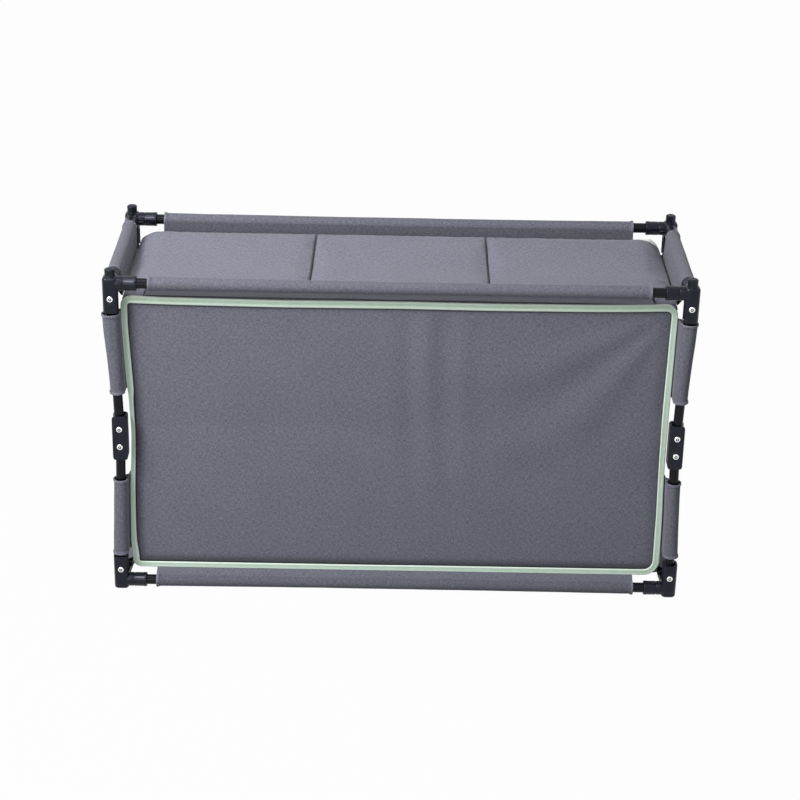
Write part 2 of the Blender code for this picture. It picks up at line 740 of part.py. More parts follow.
def build_cloth(bottom, top, finishes):
    """The cloth box, its padded covers, its boards and its shelf."""
    cloth = finishes["cloth"]
    piece("base_cover", cover_mesh("base_cover", BASE_CROWN, BOX_BOTTOM, -1), cloth, bottom)
    piece("top_cover", cover_mesh("top_cover", COVER_CROWN, BOX_TOP, 1), cloth, top)
    piece("front_wall", hung_wall("front_wall", front_wall_mesh(), 0, -1), cloth, bottom)
    piece("back_facing", hung_wall("back_facing", facing_mesh(), 0, 1), cloth, bottom)
    for name, side in (("left_wall", -1), ("right_wall", 1)):
        piece(name, hung_wall(name, side_wall_mesh(name, side), side, 0), cloth, bottom)
    for name, side in (("front_binding", -1), ("back_binding", 1)):
        piece(name, binding_mesh(name, side), finishes["tape"], bottom)
    height = BOX_TOP - COVER_THICKNESS - GAP
    spans = zip(("left", "middle", "right"), SECTION_EDGES, SECTION_EDGES[1:])
    for name, start, end in spans:
        board = board_mesh(start, end)
        piece("top_board_" + name, board, finishes["board"], top, (0, 0, height))
    piece("shelf_panel", shelf_mesh(), finishes["board"], bottom, (0, 0, SHELF_HEIGHT))


def main():
    """Clear the scene and build the cupboard, standing open."""
    for old in list(bpy.data.objects):
        bpy.data.objects.remove(old)
    finishes = {
        "plastic": material("black_nylon_moulding", (0.028, 0.029, 0.033), 0.42, 0),
        "tube": material("black_powder_coated_tube", (0.012, 0.012, 0.014), 0.22, 0),
        "pin": material("bright_aluminium_rivet", (0.82, 0.83, 0.85), 0.28, 1),
        "cloth": material("grey_polyester_canvas", (0.120, 0.123, 0.150), 0.85, 0),
        "tape": material("mint_binding_tape", (0.420, 0.620, 0.470), 0.70, 0),
        "board": material("grey_lined_board", (0.110, 0.112, 0.135), 0.80, 0),
    }
    bottom = carrier("bottom_frame", (0, 0, 0))
    top = carrier("top_frame", (0, 0, TOP_RAIL_HEIGHT))
    bpy.context.view_layer.update()
    build_frames(bottom, top, finishes)
    build_legs(bottom, top, finishes)
    build_cloth(bottom, top, finishes)


main()
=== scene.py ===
"""The looks of a folding camp kitchen cupboard: a padded cloth box hung in a frame of tube.

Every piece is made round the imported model, in metres, with the floor at zero height. The plain
bound face looks along -Y and the open side looks along +Y.
"""

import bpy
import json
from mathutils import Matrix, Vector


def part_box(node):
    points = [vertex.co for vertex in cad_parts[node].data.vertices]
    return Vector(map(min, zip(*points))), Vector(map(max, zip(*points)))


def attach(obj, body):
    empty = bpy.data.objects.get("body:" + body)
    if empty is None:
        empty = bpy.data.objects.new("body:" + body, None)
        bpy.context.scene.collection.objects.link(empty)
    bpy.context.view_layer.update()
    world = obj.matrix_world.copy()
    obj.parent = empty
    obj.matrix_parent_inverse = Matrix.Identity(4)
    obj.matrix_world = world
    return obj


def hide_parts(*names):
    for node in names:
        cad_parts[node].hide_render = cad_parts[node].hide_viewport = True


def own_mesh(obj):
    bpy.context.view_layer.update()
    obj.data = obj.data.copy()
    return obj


bl_info = {
    "name": "Folding camp cupboard",
    "version": (1, 0, 0),
    "blender": (4, 5, 0),
    "location": "3D View > Sidebar > Cupboard",
    "description": "Builds the cloth, tubes and mouldings of a folding camp cupboard and lights it",
    "category": "Object",
}

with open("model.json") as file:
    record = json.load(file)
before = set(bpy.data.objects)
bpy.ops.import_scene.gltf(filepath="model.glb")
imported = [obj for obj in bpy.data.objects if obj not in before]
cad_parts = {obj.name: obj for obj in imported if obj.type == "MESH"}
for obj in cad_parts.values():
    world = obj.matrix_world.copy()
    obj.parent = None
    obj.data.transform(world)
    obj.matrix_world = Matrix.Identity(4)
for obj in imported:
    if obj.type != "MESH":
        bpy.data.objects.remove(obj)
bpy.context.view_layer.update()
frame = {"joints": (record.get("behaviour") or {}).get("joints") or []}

import json
from math import acos, atan2, cos, degrees, hypot, log, pi, radians, sin

import bmesh
import bpy
import numpy as np
from mathutils import Matrix, Vector, noise

JOINT_AT = {joint["name"]: joint.get("pos_m") for joint in frame["joints"]}

# The frame's own places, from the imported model
LEG_X, LEG_Y, FOOT_PIVOT = (abs(v) for v in JOINT_AT["fold"])
KNEE_X, LOWER_KNEE = (abs(JOINT_AT["knee_front_left_turn"][way]) for way in (0, 2))
UPPER_KNEE = JOINT_AT["upper_leg_front_left_turn"][2]
HEAD_PIVOT = JOINT_AT["top_frame_level"][2]
RAIL_TO_PIVOT = 0.0225
LOW_RAIL = FOOT_PIVOT - RAIL_TO_PIVOT
HIGH_RAIL = HEAD_PIVOT + RAIL_TO_PIVOT
LEG_LEAN = atan2(LEG_X - KNEE_X, LOWER_KNEE - FOOT_PIVOT)
LEG_LENGTH = hypot(LEG_X - KNEE_X, LOWER_KNEE - FOOT_PIVOT)

# Mouldings and tubes
BODY_HALF = 0.0115
BODY_TOP = RAIL_TO_PIVOT + 0.0228
CROWN = 0.0112
SOCKET_LENGTH = 0.040
SOCKET_RADIUS = 0.0114
SOCKET_BORE = 0.0084
SLOT_HALF = 0.0079
SLOT_BACK = 0.0089
KNEE_HALF = 0.0110
KNEE_BACK = 0.0120
KNEE_HALF_HEIGHT = 0.037
RECESS_RADIUS = 0.006
RECESS_DEPTH = 0.0009
STUD_RADIUS = 0.0080
RAIL_RADIUS = 0.008
RAIL_START = 0.017
LEG_RADIUS = 0.0075
LEG_PAST_PIVOT = 0.004
TUBE_WALL = 0.0012
OVERRUN = 0.01

# Sleeves: where they start and end from the legs' axes or pivots, and the thickness of their cloth
RAIL_SLEEVE_START = 0.052
SIDE_SLEEVE_START = 0.041
LEG_SLEEVE = (0.0262, 0.158)
RIDDEN_UP = 0.0095
SLEEVE_CLOTH = 0.0009
TURNS = 28

# The cloth box, as far out as its edge binding
BOX_LOW = 0.0277
BOX_HIGH = 0.4946
BOX_FACE = 0.1273
COVER_FACE = 0.1257
COVER_ENDS = (-0.4238, 0.4212)
COVER_LOW = 0.4852
COVER_SEAM = 0.1394
SHELF = 0.280
CLOTH = 0.0011
PANEL_INSET = 0.0022

# How far out the edge of the bound face stands at some heights, on its left and its right side.
# The leg sleeves draw the upper part out, and the shelf draws the middle in.
EDGE_HEIGHTS = (
    0.028, 0.050, 0.072, 0.137, 0.180, 0.222, 0.264, 0.305, 0.335, 0.346, 0.386, 0.446, 0.494
)
EDGE_LEFT = (
    0.4203, 0.4206, 0.4228, 0.4216, 0.4202, 0.4174, 0.4155, 0.4172, 0.4182, 0.4206, 0.4226,
    0.4254, 0.4250,
)
EDGE_RIGHT = (
    0.4223, 0.4224, 0.4221, 0.4212, 0.4196, 0.4188, 0.4186, 0.4189, 0.4193, 0.4195, 0.4200,
    0.4206, 0.4212,
)
# The side walls, which the shelf draws in, at the foot, the shelf and the top
SIDE_HEIGHTS = (0.028, 0.283, 0.494)
SIDE_LEFT = (0.4178, 0.4130, 0.4222)
SIDE_RIGHT = (0.4196, 0.4152, 0.4190)
# Width of the tape as cut, and as it shows on the two sides at some heights and along the face's
# top and foot
TAPE_HEIGHTS = (0.05, 0.10, 0.18, 0.26, 0.325, 0.345, 0.494)
TAPE_LEFT = (0.0104, 0.0085, 0.0078, 0.0060, 0.0070, 0.0106, 0.0102)
TAPE_RIGHT = (0.0108, 0.0103, 0.0092, 0.0094, 0.0102, 0.0102, 0.0094)
TAPE_OVER = 0.0118
TAPE_UNDER_LEFT = 0.0096
TAPE_UNDER_RIGHT = 0.0100
# How far the top edge of the face sags, and how far the rear sleeve pulls that of the open side up
SAG_PLACES = (-0.42, -0.355, -0.19, 0.0, 0.14, 0.30, 0.355, 0.408)
SAG = (-0.0004, -0.0021, -0.0035, -0.0023, -0.0031, -0.0018, -0.0006, 0.0014)
PULL_PLACES = (-0.424, -0.405, -0.37, 0.33, 0.372, 0.386, 0.394, 0.404, 0.416, 0.424)
PULL = (0.0, 0.0, 0.0030, 0.0082, 0.0092, 0.0112, 0.0142, 0.0124, 0.0075, 0.0)

# Corners of the bound face, anticlockwise from the bottom right: side across, side up, radius
FACE_CORNERS = ((1, -1, 0.025), (1, 1, 0.019), (-1, 1, 0.016), (-1, -1, 0.013))

LEVELS = (("bottom", LOW_RAIL, "bottom_frame"), ("top", HIGH_RAIL, "top_frame"))
CORNERS = (
    ("front_left", -1, -1), ("front_right", 1, -1), ("back_left", -1, 1), ("back_right", 1, 1)
)


def linear(code):
    """Turn an sRGB hex colour into the linear values that a shader takes."""
    parts = []
    for start in (1, 3, 5):
        value = int(code[start : start + 2], 16) / 255
        parts.append(value / 12.92 if value <= 0.04045 else ((value + 0.055) / 1.055) ** 2.4)
    return tuple(parts)


# Settings


def size_setting(name, description, default, low, high):
    """A length that can be changed."""
    return bpy.props.FloatProperty(
        name=name, description=description, default=default, min=low, max=high, unit="LENGTH"
    )


def colour_setting(name, description, code):
    """A colour that can be changed."""
    return bpy.props.FloatVectorProperty(
        name=name, description=description, subtype="COLOR", size=3, default=linear(code), min=0,
        max=1,
    )


def power_setting(name, description, watts):
    """A light's power."""
    return bpy.props.FloatProperty(
        name=name, description=description, default=watts, min=0, subtype="POWER"
    )


class CupboardSizes(bpy.types.PropertyGroup):
    """Sizes of the sewn details."""

    sleeve_radius: size_setting(
        "Rail sleeve", "Outer radius of the cloth round a rail", 0.0105, 0.009, 0.014
    )
    leg_sleeve_radius: size_setting(
        "Leg sleeve", "Outer radius of the cloth round a leg", 0.0108, 0.0085, 0.013
    )
    hem: size_setting("Hem", "Width of the folded hem at a sleeve's end", 0.0048, 0.002, 0.010)
    binding: size_setting(
        "Binding", "Width of the tape on the face of the cloth box", 0.0092, 0.005, 0.014
    )
    crown: size_setting(
        "Cover crown", "How far the padded top stands above its edge", 0.0072, 0.0, 0.02
    )
    stitch: size_setting("Stitch", "Length of one stitch", 0.0034, 0.002, 0.006)


class CupboardColours(bpy.types.PropertyGroup):
    """Colours of the finishes."""

    canvas_dark: colour_setting("Canvas, dark yarn", "Darker yarn of the grey canvas", "#5a5b67")
    canvas_light: colour_setting("Canvas, light yarn", "Lighter yarn of the grey canvas", "#858693")
    tape: colour_setting("Binding tape", "Mint green of the edge binding", "#d3f0d8")
    # The painted highlight on the tape's folds, which is also the colour of the mint thread
    tape_highlight_and_thread: colour_setting("Tape edge", "Paler woven edge of the binding", "#eefaee")
    moulding: colour_setting("Mouldings", "Black nylon of the corners and knees", "#0c0d16")
    tube: colour_setting("Tubes", "Black powder coat of the tubes", "#101117")
    rivet: colour_setting("Rivets", "Bright aluminium of the rivets", "#f7f8f9")
    # Painted shade in the grooves of the rivet heads
    dimple: colour_setting("Dimples", "Old polish in the dimples of the rivets", "#1b1b1d")
    floor: colour_setting("Floor", "Paper under the cupboard, as the light meets it", "#8c8c8c")


class CupboardStudio(bpy.types.PropertyGroup):
    """The camera and the lights."""

    camera_place: bpy.props.FloatVectorProperty(
        name="Camera place", description="Where the camera stands", subtype="TRANSLATION", size=3,
        default=(-0.02146, -3.06233, 1.6659), unit="LENGTH",
    )
    camera_turn: bpy.props.FloatVectorProperty(
        name="Camera turn", description="The camera's rotation", subtype="EULER", size=3,
        default=(radians(65.494263), radians(-1.091021), radians(0.050296)),
    )
    camera_lens: bpy.props.FloatProperty(
        name="Lens", description="Focal length on a 36 mm sensor, in millimetres", default=93.78,
        min=10, max=400,
    )
    key_power: power_setting("Key light", "Power of the near light above the front left", 45)
    top_power: power_setting("Strip light", "Power of the long narrow light overhead", 10)
    fill_power: power_setting("Fill light", "Power of the wide soft light behind the camera", 16)
    surround: bpy.props.FloatProperty(
        name="Surround", description="How much light the pale room gives", default=0.28, min=0,
        max=2,
    )


# Materials

SMOOTH_STEP = {"interpolation_type": "SMOOTHSTEP"}
OF_COLOURS = {"data_type": "RGBA"}


def feed(tree, node, inputs):
    """Fill a node's inputs, given by name or in their order.

    Each is a value, the socket that feeds it, or a node whose first output does.
    """
    for name, value in inputs.items() if isinstance(inputs, dict) else enumerate(inputs):
        if isinstance(value, bpy.types.Node):
            value = value.outputs[0]
        if isinstance(value, bpy.types.NodeSocket):
            tree.links.new(value, node.inputs[name])
        else:
            node.inputs[name].default_value = value


def add_node(tree, kind, settings=(), inputs=()):
    """Add one node with its settings and what fills its inputs."""
    made = tree.nodes.new("ShaderNode" + kind)
    for name, value in dict(settings).items():
        setattr(made, name, value)
    feed(tree, made, inputs)
    return made


def bands_per(spacing):
    """The Wave texture's scale that puts its bands this many metres apart."""
    return 2 * pi / 20 / spacing


def solid(colour, share=1.0):
    """A colour or a darker or paler version of it, as an opaque one."""
    return (*(min(1.0, c * share) for c in colour), 1)


def new_finish(name, coordinates, values):
    """A material whose shader has these values, and what its patterns lie on."""
    finish = bpy.data.materials.new(name)
    finish.use_nodes = True
    tree = finish.node_tree
    shader = tree.nodes["Principled BSDF"]
    feed(tree, shader, values)
    return finish, tree, shader, add_node(tree, "TexCoord").outputs[coordinates]


def oxford_canvas(name, colours, lift=1.0, border=None, seam=None):
    """Dyed polyester oxford cloth, coated on its back: dull, finely mottled, with a slight sheen.

    The yarns are 0.6 mm apart on the real cloth and 1.3 mm here, so that the weave shows.
    A border paints shade along the cloth's edge, where the binding casts its shadow: a dark line,
    then a strip that fades. It is the cloth's width and height, how far in the line ends, and how
    dark the strip beside it is. A seam paints a dark line of shade this far to both sides of where
    V is 0.
    """
    finish, tree, shader, place = new_finish(name, "UV", {
        "Roughness": 0.82, "Sheen Weight": 0.18, "Sheen Roughness": 0.45, "IOR": 1.5,
        "Specular IOR Level": 0.28,
    })
    dark, light = colours.canvas_dark, colours.canvas_light
    yarns = [
        add_node(tree, "TexWave", {"bands_direction": way}, {
            "Vector": place, "Scale": bands_per(0.0013), "Distortion": 0.9, "Detail": 1.0,
            "Detail Scale": 1.4,
        }).outputs["Fac"]
        for way in "XY"
    ]
    # Slubs: thicker stretches of yarn, drawn out both ways
    slubs = []
    for stretch in ((0.22, 1.0, 1.0), (1.0, 0.22, 1.0)):
        drawn = add_node(tree, "Mapping", (), {"Vector": place, "Scale": stretch})
        slubs.append(add_node(tree, "TexNoise", (), {
            "Vector": drawn, "Scale": 800.0, "Detail": 2.0, "Roughness": 0.6,
        }))
    both = add_node(tree, "Math", {"operation": "ADD"}, slubs)
    grain = add_node(tree, "MapRange", (), (both, 0.78, 1.22, 0.0, 0.8))
    # Wide soft changes of shade from handling, 60 to 90 mm across
    handled = add_node(tree, "TexNoise", (), {
        "Vector": place, "Scale": 13.0, "Detail": 2.0, "Roughness": 0.5,
    })
    wide = add_node(tree, "MapRange", (), (handled, 0.3, 0.7, 0.0, 0.07))
    yarn = add_node(tree, "Math", {"operation": "ADD"}, (grain, wide))
    tones = {0: yarn, 6: solid(dark, lift), 7: solid(light, lift)}
    tint = add_node(tree, "Mix", OF_COLOURS, tones).outputs[2]
    split = add_node(tree, "SeparateXYZ", (), (place,)).outputs
    # Painted shade along the cloth's edge, where the binding casts its shadow
    if border:
        width, height, shade_line_end, shade = border
        gaps = []
        for axis, size in (("X", width), ("Y", height)):
            away = add_node(tree, "Math", {"operation": "SUBTRACT"}, (split[axis], size / 2))
            away = add_node(tree, "Math", {"operation": "ABSOLUTE"}, (away,))
            gaps.append(add_node(tree, "Math", {"operation": "SUBTRACT"}, (size / 2, away)))
        near = add_node(tree, "Math", {"operation": "MINIMUM"}, gaps)
        # Painted shade beside the binding: a dark line, then a strip that fades over 17 mm
        inputs = (near, shade_line_end, shade_line_end + 0.0044, 0.8, 0.0)
        line = add_node(tree, "MapRange", SMOOTH_STEP, inputs)
        inputs = (near, shade_line_end + 0.001, shade_line_end + 0.018, shade, 0.0)
        strip = add_node(tree, "MapRange", SMOOTH_STEP, inputs)
        painted_edge_shade = add_node(tree, "Math", {"operation": "MAXIMUM"}, (line, strip))
        tones = {0: painted_edge_shade, 6: tint, 7: solid(dark, 0.22)}
        tint = add_node(tree, "Mix", OF_COLOURS, tones).outputs[2]
    # Painted shade: a dark line to both sides of the seam, where V is 0
    if seam:
        away = add_node(tree, "Math", {"operation": "ABSOLUTE"}, (split["Y"],))
        inputs = (away, seam - 0.0008, seam + 0.0022, 0.9, 0.0)
        line = add_node(tree, "MapRange", SMOOTH_STEP, inputs)
        tones = {0: line, 6: tint, 7: solid(dark, 0.16)}
        tint = add_node(tree, "Mix", OF_COLOURS, tones).outputs[2]
    crossing = add_node(tree, "Math", {"operation": "ADD"}, yarns)
    relief = add_node(tree, "Math", {"operation": "MULTIPLY_ADD"}, (both, 0.8, crossing))
    inputs = {"Height": relief, "Strength": 0.45, "Distance": 0.00016}
    feed(tree, shader, {"Base Color": tint, "Normal": add_node(tree, "Bump", (), inputs)})
    return finish


def grosgrain_tape(name, colours):
    """Woven polyester binding tape: fine cross ribs, a soft sheen, and painted highlights on its
    folds.

    The ribs are 0.8 mm apart on the real tape and 1.6 mm here, so that they show.
    """
    finish, tree, shader, place = new_finish(
        name, "UV", {"Roughness": 0.62, "Sheen Weight": 0.3, "Sheen Roughness": 0.35}
    )
    inputs = {"Vector": place, "Scale": bands_per(0.0016), "Distortion": 0.4}
    ribs = add_node(tree, "TexWave", {"bands_direction": "X"}, inputs).outputs["Fac"]
    across = add_node(tree, "SeparateXYZ", (), (place,)).outputs["Y"]
    # Painted highlights: paler bands along the tape's fold and its inner edge, where its roll
    # catches the light
    from_edge = add_node(tree, "MapRange", SMOOTH_STEP, (across, 0.0142, 0.0165, 0.0, 0.6))
    from_fold = add_node(tree, "MapRange", SMOOTH_STEP, (across, 0.0114, 0.0100, 0.0, 0.9))
    rim = add_node(tree, "Math", {"operation": "MAXIMUM"}, (from_edge, from_fold))
    inputs = {"Vector": place, "Scale": 90.0, "Detail": 3.0, "Roughness": 0.6}
    soil = add_node(tree, "TexNoise", (), inputs)
    soiled = add_node(tree, "MapRange", (), (soil, 0.3, 0.7, 0.0, 0.4))
    tones = {0: soiled, 6: solid(colours.tape), 7: solid(colours.tape, 0.72)}
    tint = add_node(tree, "Mix", OF_COLOURS, tones).outputs[2]
    tones = {0: ribs, 6: tint, 7: (0.90, 0.92, 0.90, 1)}
    tint = add_node(tree, "Mix", {**OF_COLOURS, "blend_type": "MULTIPLY"}, tones).outputs[2]
    tones = {0: rim, 6: tint, 7: solid(colours.tape_highlight_and_thread)}
    tint = add_node(tree, "Mix", OF_COLOURS, tones).outputs[2]
    inputs = {"Height": ribs, "Strength": 0.5, "Distance": 0.00014}
    feed(tree, shader, {"Base Color": tint, "Normal": add_node(tree, "Bump", (), inputs)})
    return finish


def moulded_nylon(name, colours):
    """Injection moulded glass-filled nylon: black, satin, with a fine spark-eroded grain."""
    finish, tree, shader, place = new_finish(name, "Object", {
        "IOR": 1.53, "Specular IOR Level": 0.3, "Specular Tint": (0.78, 0.84, 1.0, 1),
    })
    # The mould's grain is about 0.25 mm. Rubbed patches, 8 to 12 mm across, are paler and smoother.
    inputs = {"Vector": place, "Scale": 4000.0, "Detail": 2.0, "Roughness": 0.6}
    grain = add_node(tree, "TexNoise", (), inputs)
    inputs = {"Vector": place, "Scale": 95.0, "Detail": 4.0, "Roughness": 0.65}
    rubbed = add_node(tree, "TexNoise", (), inputs)
    worn = add_node(tree, "MapRange", (), (rubbed, 0.42, 0.72, 0.0, 0.3))
    paler = solid([c * 1.7 + 0.003 for c in colours.moulding])
    tones = {0: worn, 6: solid(colours.moulding), 7: paler}
    inputs = {"Height": grain, "Strength": 0.25, "Distance": 0.00005}
    feed(tree, shader, {
        "Base Color": add_node(tree, "Mix", OF_COLOURS, tones).outputs[2],
        "Roughness": add_node(tree, "MapRange", (), (rubbed, 0.3, 0.75, 0.36, 0.26)),
        "Normal": add_node(tree, "Bump", (), inputs),
    })
    return finish


def powder_coat(name, colours):
    """Gloss black powder coat on tube: a clear shine over a very faint orange peel."""
    finish, tree, shader, place = new_finish(name, "Object", {
        "IOR": 1.5, "Specular IOR Level": 0.12, "Coat Weight": 0.08, "Coat Roughness": 0.05,
        "Base Color": solid(colours.tube),
    })
    # Orange peel, 1.5 mm across
    inputs = {"Vector": place, "Scale": 650.0, "Detail": 1.0, "Roughness": 0.4}
    peel = add_node(tree, "TexNoise", (), inputs)
    inputs = {"Vector": place, "Scale": 140.0, "Detail": 5.0, "Roughness": 0.7}
    scuff = add_node(tree, "TexNoise", (), inputs)
    inputs = {"Height": peel, "Strength": 0.2, "Distance": 0.00006}
    feed(tree, shader, {
        "Roughness": add_node(tree, "MapRange", (), (scuff, 0.4, 0.75, 0.13, 0.26)),
        "Normal": add_node(tree, "Bump", (), inputs),
    })
    return finish


def turned_aluminium(name, colour):
    """Headed aluminium rivet: bright, with fine rings left by the setting tool."""
    finish, tree, shader, place = new_finish(
        name, "Object", {"Metallic": 1.0, "Base Color": solid(colour)}
    )
    inputs = {"Vector": place, "Scale": 1500.0, "Detail": 3.0, "Roughness": 0.6}
    marks = add_node(tree, "TexNoise", (), inputs)
    inputs = {"Height": marks, "Strength": 0.2, "Distance": 0.00004}
    feed(tree, shader, {
        "Roughness": add_node(tree, "MapRange", (), (marks, 0.3, 0.7, 0.2, 0.42)),
        "Normal": add_node(tree, "Bump", (), inputs),
    })
    return finish


def spun_thread(name, colour, share=1.0):
    """Bonded polyester sewing thread: smooth and slightly shiny, two plies twisted together."""
    finish, tree, shader, place = new_finish(
        name, "Object", {"Roughness": 0.5, "Base Color": solid(colour, share)}
    )
    inputs = {"Vector": place, "Scale": 2500.0, "Detail": 1.0, "Roughness": 0.5}
    plies = add_node(tree, "TexNoise", (), inputs)
    inputs = {"Height": plies, "Strength": 0.3, "Distance": 0.0001}
    feed(tree, shader, {"Normal": add_node(tree, "Bump", (), inputs)})
    return finish


# The shades of one cloth, made darker or paler by a lift. Most of them are painted shade and
# painted light, and some add painted shade along an edge or a seam
CANVASES = {
    "grey_oxford_canvas": {},
    # Painted shade along the edge, where the binding casts its shadow
    "grey_panel_canvas": {"border": (0.8425, 0.4655, 0.0060, 0.55)},
    # Painted shade: darker copies for the sleeves, the lower rail sleeves darkest
    "grey_sleeve_canvas": {"lift": 0.86},
    "grey_low_sleeve_canvas": {"lift": 0.70},
    # Painted shade on the webs, with a dark line along the seam; the top front web is paler, as
    # painted light
    "grey_web_canvas": {"lift": 0.84, "seam": 0.0052},
    "grey_front_web_canvas": {"lift": 1.25, "seam": 0.0100},
    "grey_rear_web_canvas": {"lift": 0.62, "seam": 0.0040},
    # Painted shadow on what is sewn down on the padded top
    "grey_seam_canvas": {"lift": 0.16},
    "grey_canvas_hem": {"lift": 1.25},
    # Painted light: the padded covers are a paler copy of the cloth
    "grey_cover_canvas": {"lift": 1.22},
    "grey_canvas_lining": {"lift": 0.86},
}


def finish_named(name):
    """The material of this name, made the first time it is asked for."""
    found = bpy.data.materials.get(name)
    if found:
        return found
    colours = bpy.context.scene.cupboard_colours
    if name in CANVASES:
        return oxford_canvas(name, colours, **CANVASES[name])
    makers = {
        "mint_grosgrain_tape": lambda: grosgrain_tape(name, colours),
        "black_moulded_nylon": lambda: moulded_nylon(name, colours),
        "black_powder_coat": lambda: powder_coat(name, colours),
        "headed_aluminium": lambda: turned_aluminium(name, colours.rivet),
        "blackened_aluminium": lambda: turned_aluminium(name, colours.dimple),
        "grey_thread": lambda: spun_thread(name, colours.canvas_light, 1.35),
        "mint_thread": lambda: spun_thread(name, colours.tape_highlight_and_thread),
    }
    return makers[name]()


# Modelling helpers


def start_fresh():
    """Leave edit mode and let go of everything that is selected."""
    if bpy.context.mode != "OBJECT":
        bpy.ops.object.mode_set(mode="OBJECT")
    bpy.ops.object.select_all(action="DESELECT")


def take(*pieces):
    """Select these pieces, the first of them active."""
    start_fresh()
    for item in pieces:
        item.select_set(True)
    bpy.context.view_layer.objects.active = pieces[0]


def edited(item, step):
    """Run a step in edit mode, on a piece's whole mesh."""
    take(item)
    bpy.ops.object.mode_set(mode="EDIT")
    bpy.ops.mesh.select_all(action="SELECT")
    step()
    bpy.ops.object.mode_set(mode="OBJECT")


def settle(item):
    """Put a piece's place, turn and scale into its mesh."""
    take(item)
    bpy.ops.object.transform_apply(location=True, rotation=True, scale=True)


def turn_out(item):
    """Make every face of a closed piece look outwards."""
    edited(item, lambda: bpy.ops.mesh.normals_make_consistent(inside=False))


def smooth(item, angle):
    """Shade a piece smooth where its faces meet at less than this many degrees."""
    take(item)
    bpy.ops.object.shade_smooth_by_angle(angle=radians(angle))


def modify(item, kind, **values):
    """Add a modifier with these values and apply it."""
    take(item)
    step = item.modifiers.new(kind.lower(), kind)
    for name, value in values.items():
        setattr(step, name, value)
    bpy.ops.object.modifier_apply(modifier=step.name)


def named(item, name):
    """Name a piece and its mesh."""
    item.name = name
    item.data.name = name
    return item


def joined(name, *pieces):
    """Join pieces into one."""
    take(*pieces)
    bpy.ops.object.join()
    return named(bpy.context.object, name)


def cut_out(item, tool):
    """Cut a tool's shape out of a piece, and remove the tool."""
    modify(item, "BOOLEAN", operation="DIFFERENCE", solver="EXACT", object=tool)
    bpy.data.objects.remove(tool)


def bevel_edges(item, wanted, width, segments):
    """Round the edges for which wanted(first, second) holds."""
    take(item)
    bpy.ops.object.mode_set(mode="EDIT")
    bpy.ops.mesh.select_mode(type="EDGE")
    bpy.ops.mesh.select_all(action="DESELECT")
    shape = bmesh.from_edit_mesh(item.data)
    for edge in shape.edges:
        if wanted(edge.verts[0].co, edge.verts[1].co):
            edge.select_set(True)
    bmesh.update_edit_mesh(item.data)
    bpy.ops.mesh.bevel(offset=width, segments=segments, affect="EDGES")
    bpy.ops.object.mode_set(mode="OBJECT")


def rounded_bar(name, low, high, upright_radius=0.0, steps=4):
    """A block whose upright edges are rounded."""
    start_fresh()
    size = Vector(high) - Vector(low)
    middle = (Vector(high) + Vector(low)) / 2
    bpy.ops.mesh.primitive_cube_add(size=1, location=middle, scale=size)
    bar = bpy.context.object
    bar.name = name
    settle(bar)
    if upright_radius:
        bevel_edges(bar, lambda a, b: abs(a.z - b.z) > size.z / 2, upright_radius, steps)
    return bar


def turned(name, profile, sides=40, axis="Z"):
    """A disc drawn up ring by ring through (height, radius) points, then laid along an axis."""
    start_fresh()
    height, radius = profile[0]
    bpy.ops.mesh.primitive_circle_add(
        vertices=sides, radius=radius, fill_type="NGON", location=(0, 0, height)
    )
    made = bpy.context.object
    made.name = name
    settle(made)

    def draw_up(height=height, radius=radius):
        for up, wide in profile[1:]:
            bpy.ops.mesh.extrude_region_move(TRANSFORM_OT_translate={"value": (0, 0, up - height)})
            bpy.ops.transform.resize(value=(wide / radius, wide / radius, 1))
            height, radius = up, wide

    edited(made, draw_up)
    made.rotation_euler = {"X": (0, pi / 2, 0), "Y": (-pi / 2, 0, 0), "Z": (0, 0, 0)}[axis]
    settle(made)
    turn_out(made)
    return made


def soften(item, width):
    """Round the sharp edges a little and shade the rest smooth."""
    modify(
        item, "BEVEL", width=width, segments=2, limit_method="ANGLE", angle_limit=radians(38),
        use_clamp_overlap=True,
    )
    smooth(item, 32)
    return item


def dress(item, finish, body, replaced=()):
    """Give a piece its material, its CAD body and the CAD nodes that it stands for."""
    item.data.materials.clear()
    item.data.materials.append(finish_named(finish))
    if replaced:
        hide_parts(*replaced)
    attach(item, body)
    return item


def copied(item, name, place, mirror=(1, 1, 1), lean=0.0):
    """A copy of a piece with its own mesh, mirrored, leant about Y and moved."""
    take(item)
    bpy.ops.object.duplicate(linked=False)
    made = named(bpy.context.object, name)
    made.data.transform(Matrix.Diagonal((*mirror, 1)))
    made.rotation_euler = (0, lean, 0)
    made.location = place
    settle(made)
    if mirror[0] * mirror[1] * mirror[2] < 0:
        turn_out(made)
    return made


def put_away(*pieces):
    """Remove the patterns that pieces were copied from."""
    for item in pieces:
        bpy.data.objects.remove(item)


def close_up(cloth):
    """Join the rows of a cloth that lie on each other."""
    edited(cloth, lambda: bpy.ops.mesh.remove_doubles(threshold=0.000001))


